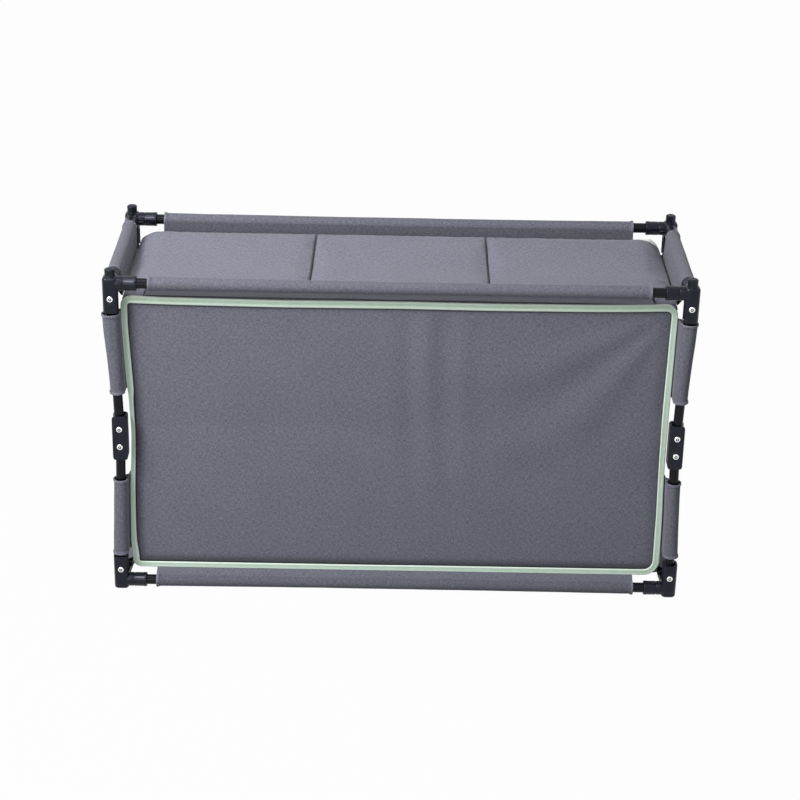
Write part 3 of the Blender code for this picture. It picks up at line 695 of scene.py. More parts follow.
def lay_cloth(name, along, across, place, closed=False):
    """A grid of cloth whose points lie at place(a, b) for each a in along and b in across.

    Its UV map is in metres, so that a weave keeps its real size. A closed one has its first and
    last rows joined.
    """
    start_fresh()
    columns, rows = len(along) - 1, len(across) - 1
    bpy.ops.mesh.primitive_grid_add(x_subdivisions=columns, y_subdivisions=rows, size=2)
    cloth = named(bpy.context.object, name)
    mesh = cloth.data
    keys = [
        (round((v.co.x + 1) / 2 * columns), round((v.co.y + 1) / 2 * rows)) for v in mesh.vertices
    ]
    points = {key: Vector(place(along[key[0]], across[key[1]])) for key in keys}
    for vertex, key in zip(mesh.vertices, keys):
        vertex.co = points[key]
    run = walked([points[c, rows // 2] for c in range(columns + 1)])
    rise = walked([points[columns // 2, r] for r in range(rows + 1)])
    marks = mesh.uv_layers.active.data
    for loop in mesh.loops:
        column, row = keys[loop.vertex_index]
        marks[loop.index].uv = (run[column], rise[row])
    mesh.update()
    if closed:
        close_up(cloth)
    return cloth


def walked(line):
    """How far along a line of points each of them lies."""
    lengths = [0.0]
    for here, there in zip(line, line[1:]):
        lengths.append(lengths[-1] + (there - here).length)
    return lengths


def thicken(cloth, thickness=CLOTH, offset=-1):
    """Give cloth its thickness and round it off."""
    modify(cloth, "SOLIDIFY", thickness=thickness, offset=offset)
    modify(cloth, "SUBSURF", levels=1, render_levels=1)
    take(cloth)
    bpy.ops.object.shade_smooth()
    return cloth


def fold_with_frame(item):
    """Give a piece its own copy of its mesh."""
    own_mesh(item)


def spaced(start, end, count):
    """Evenly spaced numbers from start to end."""
    return [start + (end - start) * step / count for step in range(count + 1)]


def kept(value):
    """A value held between 0 and 1."""
    return min(1.0, max(0.0, value))


def table(value, places, values):
    """The value of a table of places and values at a place."""
    return float(np.interp(value, places, values))


def bell(place):
    """A smooth hump, 1 at 0 and nothing past 1."""
    return max(0.0, 1 - place * place) ** 2


def ripple(x, y, seed, size):
    """A soft unevenness between -1 and 1 whose swells are about size metres across."""
    return noise.noise(Vector((x / size, y / size, seed * 7.31)))


def sew(name, line, outward, closed=False):
    """A row of stitches along a line of points, each lying flat on the cloth."""
    length = bpy.context.scene.cupboard_sizes.stitch
    gap = length * 0.35
    start_fresh()
    bpy.ops.mesh.primitive_uv_sphere_add(segments=6, ring_count=4, radius=1)
    pattern = bpy.context.object
    pattern.scale = (length / 2, 0.0004, 0.00032)
    settle(pattern)
    corners = np.array([v.co for v in pattern.data.vertices])
    faces = [tuple(p.vertices) for p in pattern.data.polygons]
    put_away(pattern)
    line = [Vector(p) for p in line]
    if closed:
        line.append(line[0])
    lengths = walked(line)
    vertices, polygons = [], []
    at, spot = gap, 0
    while at + length < lengths[-1]:
        middle = at + length / 2
        while lengths[spot + 1] < middle:
            spot += 1
        part = (middle - lengths[spot]) / (lengths[spot + 1] - lengths[spot])
        centre = line[spot].lerp(line[spot + 1], part)
        forward = (line[spot + 1] - line[spot]).normalized()
        side = Vector(outward(centre)).normalized().cross(forward).normalized()
        turn = np.array([forward, side, forward.cross(side)])
        first = len(vertices)
        vertices += [tuple(p) for p in corners @ turn + np.array(centre)]
        polygons += [tuple(first + i for i in face) for face in faces]
        at += length + gap
    mesh = bpy.data.meshes.new(name)
    mesh.from_pydata(vertices, [], polygons)
    made = bpy.data.objects.new(name, mesh)
    bpy.context.scene.collection.objects.link(made)
    take(made)
    bpy.ops.object.shade_smooth()
    return made


# The box's outline


def edge_at(side, height):
    """How far out the bound edge stands on one side at a height."""
    return table(height, EDGE_HEIGHTS, EDGE_RIGHT if side > 0 else EDGE_LEFT)


def side_wall_at(side, height):
    """How far out a side wall stands at a height."""
    return table(height, SIDE_HEIGHTS, SIDE_RIGHT if side > 0 else SIDE_LEFT)


def tape_width(x, z):
    """Width of the tape where its outer edge passes a place."""
    upright = table(z, TAPE_HEIGHTS, TAPE_RIGHT if x > 0 else TAPE_LEFT)
    level = TAPE_OVER if z > SHELF else (TAPE_UNDER_LEFT if x < 0 else TAPE_UNDER_RIGHT)
    from_side = max(0.0, edge_at(x, z) - abs(x))
    from_level = max(0.0, min(z - BOX_LOW, BOX_HIGH - z))
    share = from_level / (from_side + from_level + 0.0001)
    return upright * share + level * (1 - share)


def sagged(x, z):
    """The height of a point of the bound face once its top edge has sagged."""
    return z + kept((z - BOX_HIGH + 0.05) / 0.04) * table(x, SAG_PLACES, SAG)


def lifted(x, z):
    """The height of a point round the open side, whose top edge the rear sleeve pulls up."""
    return z + kept((z - 0.43) / 0.05) * table(x, PULL_PLACES, PULL)


def corner_edge(up, radius, inset):
    """The radius of a corner at an inset from the edge, and the height at which it starts."""
    small = max(radius - inset, 0.0008)
    return small, BOX_LOW + inset + small if up < 0 else BOX_HIGH - inset - small


def outline(inset, steps=8, side_steps=40, level_steps=44):
    """Points round the bound face at an inset from its edge, anticlockwise, as (across, up)."""
    corners = []
    for side, up, radius in FACE_CORNERS:
        small, z = corner_edge(up, radius, inset)
        x = side * (edge_at(side, z) - inset - small)
        start = {(1, -1): -pi / 2, (1, 1): 0, (-1, 1): pi / 2, (-1, -1): pi}[side, up]
        turns = [start + pi / 2 * s / steps for s in range(steps + 1)]
        corners.append([(x + small * cos(turn), z + small * sin(turn)) for turn in turns])
    ring = []
    for index, arc in enumerate(corners):
        ring += arc
        (x0, z0), (x1, z1) = arc[-1], corners[(index + 1) % 4][0]
        side = {0: 1, 2: -1}.get(index)
        count = side_steps if side else level_steps
        for s in range(1, count):
            z = z0 + (z1 - z0) * s / count
            x = side * (edge_at(side, z) - inset) if side else x0 + (x1 - x0) * s / count
            ring.append((x, z))
    return ring


def face_half_width(side, height, inset):
    """How far out the face reaches on one side at a height, round its corners."""
    width = edge_at(side, height) - inset
    for way, up, radius in FACE_CORNERS:
        small, edge = corner_edge(up, radius, inset)
        past = min(small, up * (height - edge))
        if way == side and past > 0:
            width = edge_at(side, edge) - inset - small + (small * small - past * past) ** 0.5
    return width


# Mouldings, tubes and rivets


def socket_shape(axis):
    """A rail socket: a tube with a collar, a groove half way along and an open mouth."""
    r, end, bore = SOCKET_RADIUS, SOCKET_LENGTH, SOCKET_BORE
    profile = (
        (0.002, r - 0.0004), (0.0188, r - 0.0004), (0.0192, r - 0.0009), (0.0204, r - 0.0009),
        (0.0208, r - 0.0003), (0.0345, r - 0.0003), (0.0352, r), (end - 0.0007, r),
        (end, r - 0.0007), (end, bore), (0.030, bore), (0.030, 0.0002),
    )
    return soften(turned("socket", profile, axis=axis), 0.00025)


def cut_recesses(body, half, height):
    """Sink a round recess for a rivet's head into both cheeks of a moulding."""
    for side in (-1, 1):
        low, high = sorted((side * (half - RECESS_DEPTH), side * (half + 0.004)))
        ring = turned("recess", ((low, RECESS_RADIUS), (high, RECESS_RADIUS)), 32, "Y")
        ring.location = (0, 0, height)
        settle(ring)
        cut_out(body, ring)


def corner_shape(name, below, crowned):
    """A corner moulding for the bottom front left, its rails crossing at the origin."""
    half = BODY_HALF
    body = rounded_bar(name, (-half, -half, -below), (half, half, BODY_TOP), 0.0068, 6)
    bevel_edges(body, lambda a, b: max(a.z, b.z) < -below + 0.0001, 0.0042, 4)
    slot = rounded_bar(
        "slot", (-SLOT_BACK, -SLOT_HALF, RAIL_TO_PIVOT - SLOT_BACK),
        (half + OVERRUN, SLOT_HALF, BODY_TOP + OVERRUN),
    )
    cut_out(body, slot)
    cut_recesses(body, half, RAIL_TO_PIVOT)
    # A short rib stiffens the inside corner between the two sockets
    rib = rounded_bar("rib", (0.006, 0.006, -0.0016), (0.0205, 0.0205, 0.0016), 0.006, 4)
    parts = [soften(body, 0.0009), socket_shape("X"), socket_shape("Y"), soften(rib, 0.0005)]
    if crowned:
        shoulder = (
            (-0.0098, 0.0088), (-0.0114, 0.0088), (-0.0119, 0.0083), (-0.0119, 0.0060)
        )
        parts.append(soften(turned("shoulder", shoulder), 0.0002))
    return joined(name, *parts)


def knee_shape(name):
    """A knee link for the front left: a channel with its back towards the cupboard."""
    half, tall = KNEE_HALF, KNEE_HALF_HEIGHT
    body = rounded_bar(name, (-half, -half, -tall), (KNEE_BACK, half, tall))
    bevel_edges(body, lambda a, b: abs(a.y - b.y) > half, 0.0045, 3)
    slot = rounded_bar(
        "slot", (-half - OVERRUN, -SLOT_HALF, -tall - OVERRUN),
        (SLOT_BACK, SLOT_HALF, tall + OVERRUN),
    )
    cut_out(body, slot)
    for height in (-(UPPER_KNEE - LOWER_KNEE) / 2, (UPPER_KNEE - LOWER_KNEE) / 2):
        cut_recesses(body, half, height)
    soften(body, 0.0008)
    # The web inside, between the two rivets, that the ends of the tubes stop against
    web = rounded_bar("web", (-0.006, -SLOT_HALF, -0.0045), (SLOT_BACK + 0.001, SLOT_HALF, 0.0045))
    return joined(name, body, soften(web, 0.0006))


def rivet_shape(half):
    """A rivet along Y with a domed and dimpled head at each end."""
    seat, end = half - 0.0006, half + 0.0011
    head = (
        (seat, 0.0024), (seat, 0.0047), (seat + 0.0005, 0.0048), (end - 0.0007, 0.0044),
        (end - 0.0002, 0.0036), (end, 0.0029), (end - 0.0001, 0.0025), (end - 0.0016, 0.0023),
        (end - 0.0016, 0.0012), (end - 0.0003, 0.0010), (end - 0.0002, 0.0002),
    )
    profile = [(-along, radius) for along, radius in reversed(head)] + list(head)
    made = turned("rivet_pattern", profile, 28, "Y")
    smooth(made, 50)
    return made


def tube_shape(start, end, radius, axis):
    """A round tube with rounded, open ends."""
    inner, lip, depth = radius - TUBE_WALL, 0.0003, 0.02
    profile = (
        (start + depth, 0.0002), (start + depth, inner), (start, inner), (start, radius - lip),
        (start + lip, radius), (end - lip, radius), (end, radius - lip), (end, inner),
        (end - depth, inner), (end - depth, 0.0002),
    )
    made = turned("tube_pattern", profile, axis=axis)
    smooth(made, 40)
    return made


def fit_rivet(pattern, name, place, body, node):
    """Put a rivet along Y in its place. The groove in its heads is painted dark, as painted shade.
    """
    pin = dress(copied(pattern, name, place), "headed_aluminium", body, [node])
    pin.data.materials.append(finish_named("blackened_aluminium"))
    # Painted shade: the faces of the groove take the dark finish
    for face in pin.data.polygons:
        away = hypot(face.center.x - place[0], face.center.z - place[2])
        if 0.0011 < away < 0.0024 and abs(face.normal.y) < 0.9 or abs(away - 0.00175) < 0.0004:
            face.material_index = 1


class CUPBOARD_OT_mouldings(bpy.types.Operator):
    """Model the eight corner mouldings and the four stacking studs"""

    bl_idname = "cupboard.mouldings"
    bl_label = "Corner mouldings"

    def execute(self, context):
        foot = corner_shape("foot_pattern", LOW_RAIL, False)
        head = corner_shape("head_pattern", CROWN, True)
        r = STUD_RADIUS
        profile = (
            (-0.0080, 0.0045), (0.0, 0.0045), (0.0, r + 0.0006), (0.0012, r + 0.0006),
            (0.0016, r), (0.0105, r), (0.0118, r - 0.0013), (0.0122, r - 0.0023),
            (0.0122, 0.0030), (0.0116, 0.0026), (0.0116, 0.0002),
        )
        stud = turned("stud_pattern", profile)
        smooth(stud, 32)
        for where, sx, sy in CORNERS:
            for pattern, name, height, up, body, node in (
                (foot, "foot_moulding_", LOW_RAIL, 1, "bottom_frame", "bottom_corner_"),
                (head, "head_moulding_", HIGH_RAIL, -1, "top_frame", "top_corner_"),
                (stud, "stud_", HIGH_RAIL + CROWN, 0, "top_frame", "stacking_stud_"),
            ):
                mirror = (-sx, -sy, up) if up else (1, 1, 1)
                made = copied(pattern, name + where, (sx * LEG_X, sy * LEG_Y, height), mirror)
                dress(made, "black_moulded_nylon", body, [node + where])
        put_away(foot, head, stud)
        return {"FINISHED"}


class CUPBOARD_OT_knees(bpy.types.Operator):
    """Model the four knee links and their rivets"""

    bl_idname = "cupboard.knees"
    bl_label = "Knee links"

    def execute(self, context):
        knee = knee_shape("knee_pattern")
        rivet = rivet_shape(KNEE_HALF)
        middle = (LOWER_KNEE + UPPER_KNEE) / 2
        for where, sx, sy in CORNERS:
            x, y, body, node = sx * KNEE_X, sy * LEG_Y, "knee_" + where, "knee_link_" + where
            link = copied(knee, "knee_" + where, (x, y, middle), (-sx, -sy, 1))
            dress(link, "black_moulded_nylon", body, [node])
            fit_rivet(rivet, "knee_rivet_lower_" + where, (x, y, LOWER_KNEE), body, node)
            fit_rivet(rivet, "knee_rivet_upper_" + where, (x, y, UPPER_KNEE), body, node)
        put_away(knee, rivet)
        return {"FINISHED"}


class CUPBOARD_OT_rivets(bpy.types.Operator):
    """Model the rivets that hold the legs in the corner mouldings"""

    bl_idname = "cupboard.rivets"
    bl_label = "Corner rivets"

    def execute(self, context):
        rivet = rivet_shape(BODY_HALF)
        for where, sx, sy in CORNERS:
            for level, height in (("bottom", FOOT_PIVOT), ("top", HEAD_PIVOT)):
                place = (sx * LEG_X, sy * LEG_Y, height)
                name, node = f"{level}_rivet_{where}", f"{level}_pin_{where}"
                fit_rivet(rivet, name, place, level + "_frame", node)
        put_away(rivet)
        return {"FINISHED"}


class CUPBOARD_OT_tubes(bpy.types.Operator):
    """Model the eight rails and the eight half legs"""

    bl_idname = "cupboard.tubes"
    bl_label = "Tubes"

    def execute(self, context):
        half_x, half_y = LEG_X - RAIL_START, LEG_Y - RAIL_START
        wide = tube_shape(-half_x, half_x, RAIL_RADIUS, "X")
        deep = tube_shape(-half_y, half_y, RAIL_RADIUS, "Y")
        leg = tube_shape(-LEG_PAST_PIVOT, LEG_LENGTH + LEG_PAST_PIVOT, LEG_RADIUS, "Z")
        for level, z, body in LEVELS:
            for side, pattern, place in (
                ("front", wide, (0, -LEG_Y, z)), ("back", wide, (0, LEG_Y, z)),
                ("left", deep, (-LEG_X, 0, z)), ("right", deep, (LEG_X, 0, z)),
            ):
                rail = copied(pattern, f"{level}_tube_{side}", place)
                dress(rail, "black_powder_coat", body, [f"{level}_rail_{side}"])
        for where, sx, sy in CORNERS:
            lean = -sx * LEG_LEAN
            for level, height, turn in (
                ("lower", FOOT_PIVOT, lean), ("upper", HEAD_PIVOT, pi - lean)
            ):
                place = (sx * LEG_X, sy * LEG_Y, height)
                half_leg = copied(leg, f"{level}_tube_{where}", place, lean=turn)
                node = f"{level}_leg_{where}"
                dress(half_leg, "black_powder_coat", node, [node])
        put_away(wide, deep, leg)
        return {"FINISHED"}


# Sleeves

# For each rail sleeve: how far its seam lies out from the box's face and up from its edge, how much
# wider the web is cut there, how much shorter the sleeve is at its two ends, and the web's finish:
# a copy of the cloth painted darker as painted shade, paler on the top front web as painted light,
# and with painted shade along the seam
RAIL_SEAMS = {
    "bottom_front": (-0.0075, 0.0030, 0.0, 0.0032, 0.0052, "grey_web_canvas"),
    "bottom_back": (-0.0018, 0.0030, 0.0, 0.0, 0.0, "grey_web_canvas"),
    "bottom_end": (0.0002, 0.0095, 0.012, 0.0, 0.0, "grey_web_canvas"),
    "top_front": (-0.0075, -0.0060, 0.012, 0.0042, 0.0085, "grey_front_web_canvas"),
    "top_back": (0.0029, -0.0011, 0.0, 0.0, 0.0085, "grey_rear_web_canvas"),
    "top_end": (0.0038, -0.0150, -0.008, 0.0, 0.0, "grey_web_canvas"),
}
# The same for the legs, from the face's edge and in depth, with a point that the web passes
LEG_SEAM = (-0.0042, 0.1120)
LEG_WEB_CLEAR = (0.0024, 0.1265)
# How far the top of an upper sleeve is drawn out over the foot of its moulding, and how that fades
DRAWN_LEFT, DRAWN_RIGHT, DRAWN_LOWER = 0.0042, 0.0024, 0.0012
DRAWN_PLACES = (0.050, 0.072, 0.098, 0.135)
DRAWN_SHARES = (1, 0.68, 0.34, 0)


def tangents(centre, seam, radius):
    """Where two lines from a seam touch a circle, as angles round its centre."""
    across, up = seam[0] - centre[0], seam[1] - centre[1]
    spread = acos(min(1.0, radius / hypot(across, up)))
    towards = atan2(up, across)
    return towards + spread, towards - spread


class Sleeve:
    """Cloth round a tube, with a hem at each end and a web of two layers down to its seam.

    centre_at(at) is the tube's middle, as across, up and along, which plane turns into a point.
    give(at, turn) says how much further out the cloth stands at a place along and round it.
    """

    def __init__(self, radius, length, centre_at, plane, give, seed):
        self.radius, self.length, self.seed = radius, length, seed
        self.centre_at, self.plane, self.give = centre_at, plane, give
        self.hem = bpy.context.scene.cupboard_sizes.hem

    def spot(self, at, turn, out):
        """The point this far out from the tube's middle."""
        across, up, along = self.centre_at(at)
        return self.plane(across + out * cos(turn), up + out * sin(turn), along)

    def stations(self):
        """Distances along the sleeve, close together at its two hems."""
        hem, length = self.hem, self.length
        ends = (0.0, 0.0007, 0.0016, hem * 0.6, hem, hem + 0.0007, hem + 0.0022, hem + 0.007)
        count = max(4, round((length - 2 * ends[-1]) / 0.009))
        middle = spaced(ends[-1], length - ends[-1], count)[1:-1]
        return list(ends) + middle + [length - e for e in reversed(ends)]

    def swell(self, at):
        """How much the cloth stands out at a place along it: the folded hems are thicker."""
        near = min(at, self.length - at)
        if near < 0.0007:
            return -0.0004
        if near < self.hem * 1.02:
            return 0.0007
        return -0.0001 if near < self.hem + 0.001 else 0.0

    def ring(self, name, stations, out_at, thickness, offset=-1):
        """Cloth that closes round the tube, out_at(at, turn) from its middle."""
        turns = spaced(0, 2 * pi, TURNS)

        def place(at, turn):
            turn = 0.0 if turn == turns[-1] else turn
            return self.spot(at, turn, out_at(at, turn))

        cloth = lay_cloth(name, stations, turns, place, closed=True)
        turn_out(cloth)
        return thicken(cloth, thickness, offset)

    def wrap(self, name):
        """The part of the sleeve that lies round its tube."""
        def out_at(at, turn):
            uneven = 0.00022 * ripple(at, turn * self.radius * 3, self.seed, 0.03)
            uneven += 0.00030 * ripple(at, turn * self.radius, self.seed + 1, 0.11)
            return self.radius + self.swell(at) + uneven + self.give(at, turn)

        return self.ring(name, self.stations(), out_at, SLEEVE_CLOTH)

    def web(self, name, seam_at, spread=0.0, clear_at=None):
        """The two layers that come together at the seam, as one folded sheet.

        It is cut wider at the seam than at the tube, by spread at each end. clear_at(at) is a
        point that it passes on its way, so that a dark gap is left beside the tape. V is 0 at
        the seam.
        """
        parts = (-1.12, -1.0, -0.8, -0.6, -0.4, -0.2, -0.05, 0.05, 0.2, 0.4, 0.6, 0.8, 1.0, 1.12)

        def place(at, part):
            across, up, along = self.centre_at(at)
            seam = seam_at(at)
            first, second = tangents((across, up), seam, self.radius)
            angle = first if part < 0 else second
            away, slack = abs(part), 0.8 * self.give(at, angle)
            if away > 1.0:
                # The end tucks in under the cloth that lies round the tube
                turn = 0.22 * (1 if part < 0 else -1)
                return self.spot(at, angle + turn, self.radius - 0.0010 + slack)
            out = self.radius + 0.6 * self.swell(at) + slack
            touch = (across + out * cos(angle), up + out * sin(angle))
            uneven = 0.0006 * ripple(at, part * 0.02, self.seed, 0.045) * sin(pi * away)
            bow = 1.0
            if clear_at:
                reach, depth = (
                    min(0.95, max(0.05, (by - start) / (end - start)))
                    for by, start, end in zip(clear_at(at), seam, touch)
                )
                bow = log(reach) / log(depth)
            x = seam[0] + (touch[0] - seam[0]) * away**bow + uneven * cos(angle)
            y = seam[1] + (touch[1] - seam[1]) * away + uneven * sin(angle)
            return self.plane(x, y, along + spread * (1 - away) * (2 * at / self.length - 1))

        cloth = lay_cloth(name, self.stations(), parts, place)
        marks = cloth.data.uv_layers.active.data
        middle = max(mark.uv.y for mark in marks) / 2
        for mark in marks:
            mark.uv.y -= middle
        return thicken(cloth, SLEEVE_CLOTH)

    def bands(self, name):
        """The folded edge at each end, in a paler copy of the cloth."""
        def out_at(at, turn):
            return self.radius + 0.0008 + self.give(at, turn)

        pieces = []
        for number, start in enumerate((0.0001, self.length - 0.0029)):
            stations = [start + step for step in (0.0, 0.0005, 0.0014, 0.0023, 0.0028)]
            pieces.append(self.ring(f"{name}_{number}", stations, out_at, 0.0006, 1))
        return joined(name, *pieces)

    def stitches(self, name):
        """Stitches round the sleeve, beside the hem at each end."""
        rows = []
        for at in (self.hem * 0.72, self.length - self.hem * 0.72):
            turns = [2 * pi * s / 48 for s in range(48)]
            ring = [self.spot(at, t, self.radius + 0.0010 + self.give(at, t)) for t in turns]
            middle = Vector(self.plane(*self.centre_at(at)))
            rows.append(sew(name, ring, lambda p, m=middle: Vector(p) - m, closed=True))
        return joined(name, *rows)

    def hemmed(self, label, where, body):
        """Sew the two hems and their stitches."""
        bands = dress(self.bands(f"{label}_hems_{where}"), "grey_canvas_hem", body)
        stitches = self.stitches(f"{label}_stitches_{where}")
        dress(stitches, "grey_thread", body)


class CUPBOARD_OT_rail_sleeves(bpy.types.Operator):
    """Sew the eight sleeves that hold the cloth box on its rails"""

    bl_idname = "cupboard.rail_sleeves"
    bl_label = "Rail sleeves"

    def execute(self, context):
        seed = 0
        for level, z, body in LEVELS:
            edge, way = (BOX_HIGH, 1) if level == "top" else (BOX_LOW, -1)
            for side, sx, sy, wall in (
                ("front", 0, -1, "front_wall"), ("back", 0, 1, "back_facing"),
                ("left", -1, 0, "left_wall"), ("right", 1, 0, "right_wall"),
            ):
                seed += 3
                row = RAIL_SEAMS[f"{level}_{side if sy else 'end'}"]
                out, up, spread, first, last, web = row
                if sy:
                    length = 2 * (LEG_X - RAIL_SLEEVE_START) - first - last
                    centre, seam = sy * LEG_Y, (sy * (BOX_FACE + out), edge + up)
                else:
                    length = 2 * (LEG_Y - SIDE_SLEEVE_START)
                    centre, seam = sx * LEG_X, (sx * (side_wall_at(sx, edge) + out), edge + up)

                def plane(across, upward, along):
                    return (along, across, upward) if sy else (across, along, upward)

                close = 0.0014 if sy else 0.0004

                def give(at, turn):
                    # It is drawn close to its tube half way along, on the side away from the box
                    return -close * (1 - (2 * at / length - 1) ** 2) * max(0.0, way * sin(turn))

                def centre_at(at):
                    return centre, z, at - length / 2 + (first - last) / 2

                radius = context.scene.cupboard_sizes.sleeve_radius
                sleeve = Sleeve(radius, length, centre_at, plane, give, seed)
                wrap = sleeve.wrap(f"{level}_sleeve_{side}")
                # Painted shade: the sleeves are darker copies of the cloth, the lower ones darker
                # still
                finish = "grey_sleeve_canvas" if level == "top" else "grey_low_sleeve_canvas"
                dress(wrap, finish, body, [wall])
                # The web takes the painted shade, or on the top front the painted light, that
                # RAIL_SEAMS gives, with painted shade along its seam
                flap = sleeve.web(f"{level}_sleeve_web_{side}", lambda at: seam, spread)
                dress(flap, web, body, [wall])
                if level == "top" and sy:
                    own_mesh(flap)
                sleeve.hemmed(f"{level}_sleeve", side, body)
        return {"FINISHED"}


class CUPBOARD_OT_leg_sleeves(bpy.types.Operator):
    """Sew the eight sleeves that join the cloth box to its legs"""

    bl_idname = "cupboard.leg_sleeves"
    bl_label = "Leg sleeves"

    def execute(self, context):
        first, last = LEG_SLEEVE
        length = last - first
        for number, (where, sx, sy) in enumerate(CORNERS):
            for level, pivot, way in (("lower", FOOT_PIVOT, 1), ("upper", HEAD_PIVOT, -1)):
                # The lower sleeves on the right have ridden up
                start = first + (RIDDEN_UP if way > 0 and sx > 0 else 0.0)
                drawn = (DRAWN_LEFT if sx < 0 else DRAWN_RIGHT) if way < 0 else DRAWN_LOWER

                def centre_at(at):
                    reach = start + at
                    x = sx * (LEG_X - reach * sin(LEG_LEAN))
                    return x, sy * LEG_Y, pivot + way * reach * cos(LEG_LEAN)

                def beside(at, place):
                    return sx * (edge_at(sx, pivot + way * (start + at)) + place[0]), sy * place[1]

                def give(at, turn):
                    fade = table(start + at, DRAWN_PLACES, DRAWN_SHARES)
                    return drawn * fade * max(0.0, sx * cos(turn)) ** 0.7

                radius = context.scene.cupboard_sizes.leg_sleeve_radius
                seed = 40 + 5 * number + (0 if way > 0 else 2)
                sleeve = Sleeve(radius, length, centre_at, lambda a, b, t: (a, b, t), give, seed)
                label, node = f"{level}_leg_sleeve", f"{level}_sleeve_{where}"
                body = f"{level}_leg_{where}"
                wrap = sleeve.wrap(f"{label}_{where}")
                # Painted shade: the sleeve is a darker copy of the cloth
                dress(wrap, "grey_sleeve_canvas", body, [node])
                # Painted shade: the web is a darker copy, with a dark line along its seam
                flap = sleeve.web(f"{level}_leg_web_{where}", lambda at: beside(at, LEG_SEAM),
                                  clear_at=lambda at: beside(at, LEG_WEB_CLEAR))
                dress(flap, "grey_web_canvas", "bottom_frame", [node])
                fold_with_frame(flap)
                sleeve.hemmed(label, where, body)
        return {"FINISHED"}


# Walls, binding and facing


def panel_folds(x, height):
    """How far the front's tension folds stand out: a fan from its top right corner, and some
    soft upright ones right of the middle."""
    across, down = 0.4205 - x, 0.487 - height
    reach = hypot(across, down)
    fan = 0.0
    if reach > 0.01 and down > 0:
        turn = degrees(atan2(down, across)) + 10 * max(0.0, reach - 0.24) / 0.1
        length = min(1.0, reach / 0.07) * max(0.0, 1 - reach / 0.46) ** 0.8
        fan = 0.0034 * min(1.0, reach / 0.2) * bell((turn - 42) / 44) * length
        fan *= cos(2 * pi * (turn - 26) / 28)
    lean = x - 0.13 * max(0.0, 0.36 - height) * 0.5
    upright = bell((lean - 0.05) / 0.11) * kept((height - 0.04) / 0.36) * kept(down / 0.02)
    return fan - 0.0018 * upright * sin(2 * pi * (lean + 0.003) / 0.058)


def front_surface(share, height):
    """A point of the front wall at a share of its half width and at a height."""
    low, high = BOX_LOW + PANEL_INSET, BOX_HIGH - PANEL_INSET
    half = face_half_width(1 if share > 0 else -1, height, PANEL_INSET)
    x = half * share
    from_shelf, from_side = abs(height - SHELF), 1 - abs(share)
    span = (SHELF - low) if height < SHELF else (high - SHELF)
    full = sin(pi * min(1.0, from_shelf / span)) ** 0.8 * max(0.0, 1 - abs(share) ** 7)
    # It starts behind the tape's inner edge and comes forward within a few millimetres
    from_end = min(height - low, high - height)
    sunk = 0.0046 * max(0.0, 1 - min(from_side * half, from_end) / 0.020)
    sunk *= 0.4 + 0.6 * min(1.0, from_shelf / 0.03)
    # Slack swells, fading out towards the binding
    calm = kept(from_side * 9) * kept(from_end / 0.04)
    slack = 0.0013 * ripple(x, height, 2, 0.15) + 0.0005 * ripple(x, height, 5, 0.05)
    # Short pulls lean away from the side binding, where the shelf is sewn in
    pull = 0.0007 * sin(2 * pi * (height - SHELF) / 0.045) * max(0.0, (abs(share) - 0.8) / 0.2)
    pull *= max(0.0, 1 - from_shelf / 0.09) * min(1.0, from_side * 20)
    out = 0.0023 * full - sunk + 0.35 * slack * calm + pull
    out += panel_folds(x, height) * min(1.0, from_side * 12)
    return x, -BOX_FACE - out, sagged(x, height)


class CUPBOARD_OT_walls(bpy.types.Operator):
    """Lay the plain front wall and the two side walls"""

    bl_idname = "cupboard.walls"
    bl_label = "Cloth walls"

    def execute(self, context):
        low, tall = BOX_LOW + PANEL_INSET, BOX_HIGH - BOX_LOW - 2 * PANEL_INSET
        # Closer together towards the edges
        shares = [0.65 * (2 * s / 96 - 1) - 0.35 * cos(pi * s / 96) for s in range(97)]
        heights = [
            low + tall * (0.5 - 0.15 * cos(pi * s / 56) - 0.35 * (1 - 2 * s / 56))
            for s in range(57)
        ]
        wall = lay_cloth("front_panel", shares, heights, front_surface)
        # Painted shade along the panel's edge, where the binding casts its shadow
        dress(thicken(wall), "grey_panel_canvas", "bottom_frame", ["front_wall"])
        fold_with_frame(wall)

        for name, side in (("left", -1), ("right", 1)):
            def hanging(depth, height):
                slack = 0.0012 * ripple(depth, height, 8 + side, 0.13)
                slack *= min(1.0, (COVER_FACE - abs(depth)) / 0.02)
                return side * (side_wall_at(side, height) + max(-0.0009, slack)), depth, height

            depths = spaced(-COVER_FACE, COVER_FACE, 36)
            levels = spaced(BOX_LOW + 0.0085, BOX_HIGH - 0.0085, 56)
            wall = lay_cloth(name + "_panel", depths, levels, hanging)
            if side < 0:
                edited(wall, bpy.ops.mesh.flip_normals)
            thicken(wall)
            dress(wall, "grey_oxford_canvas", "bottom_frame", [name + "_wall"])
            fold_with_frame(wall)
        return {"FINISHED"}


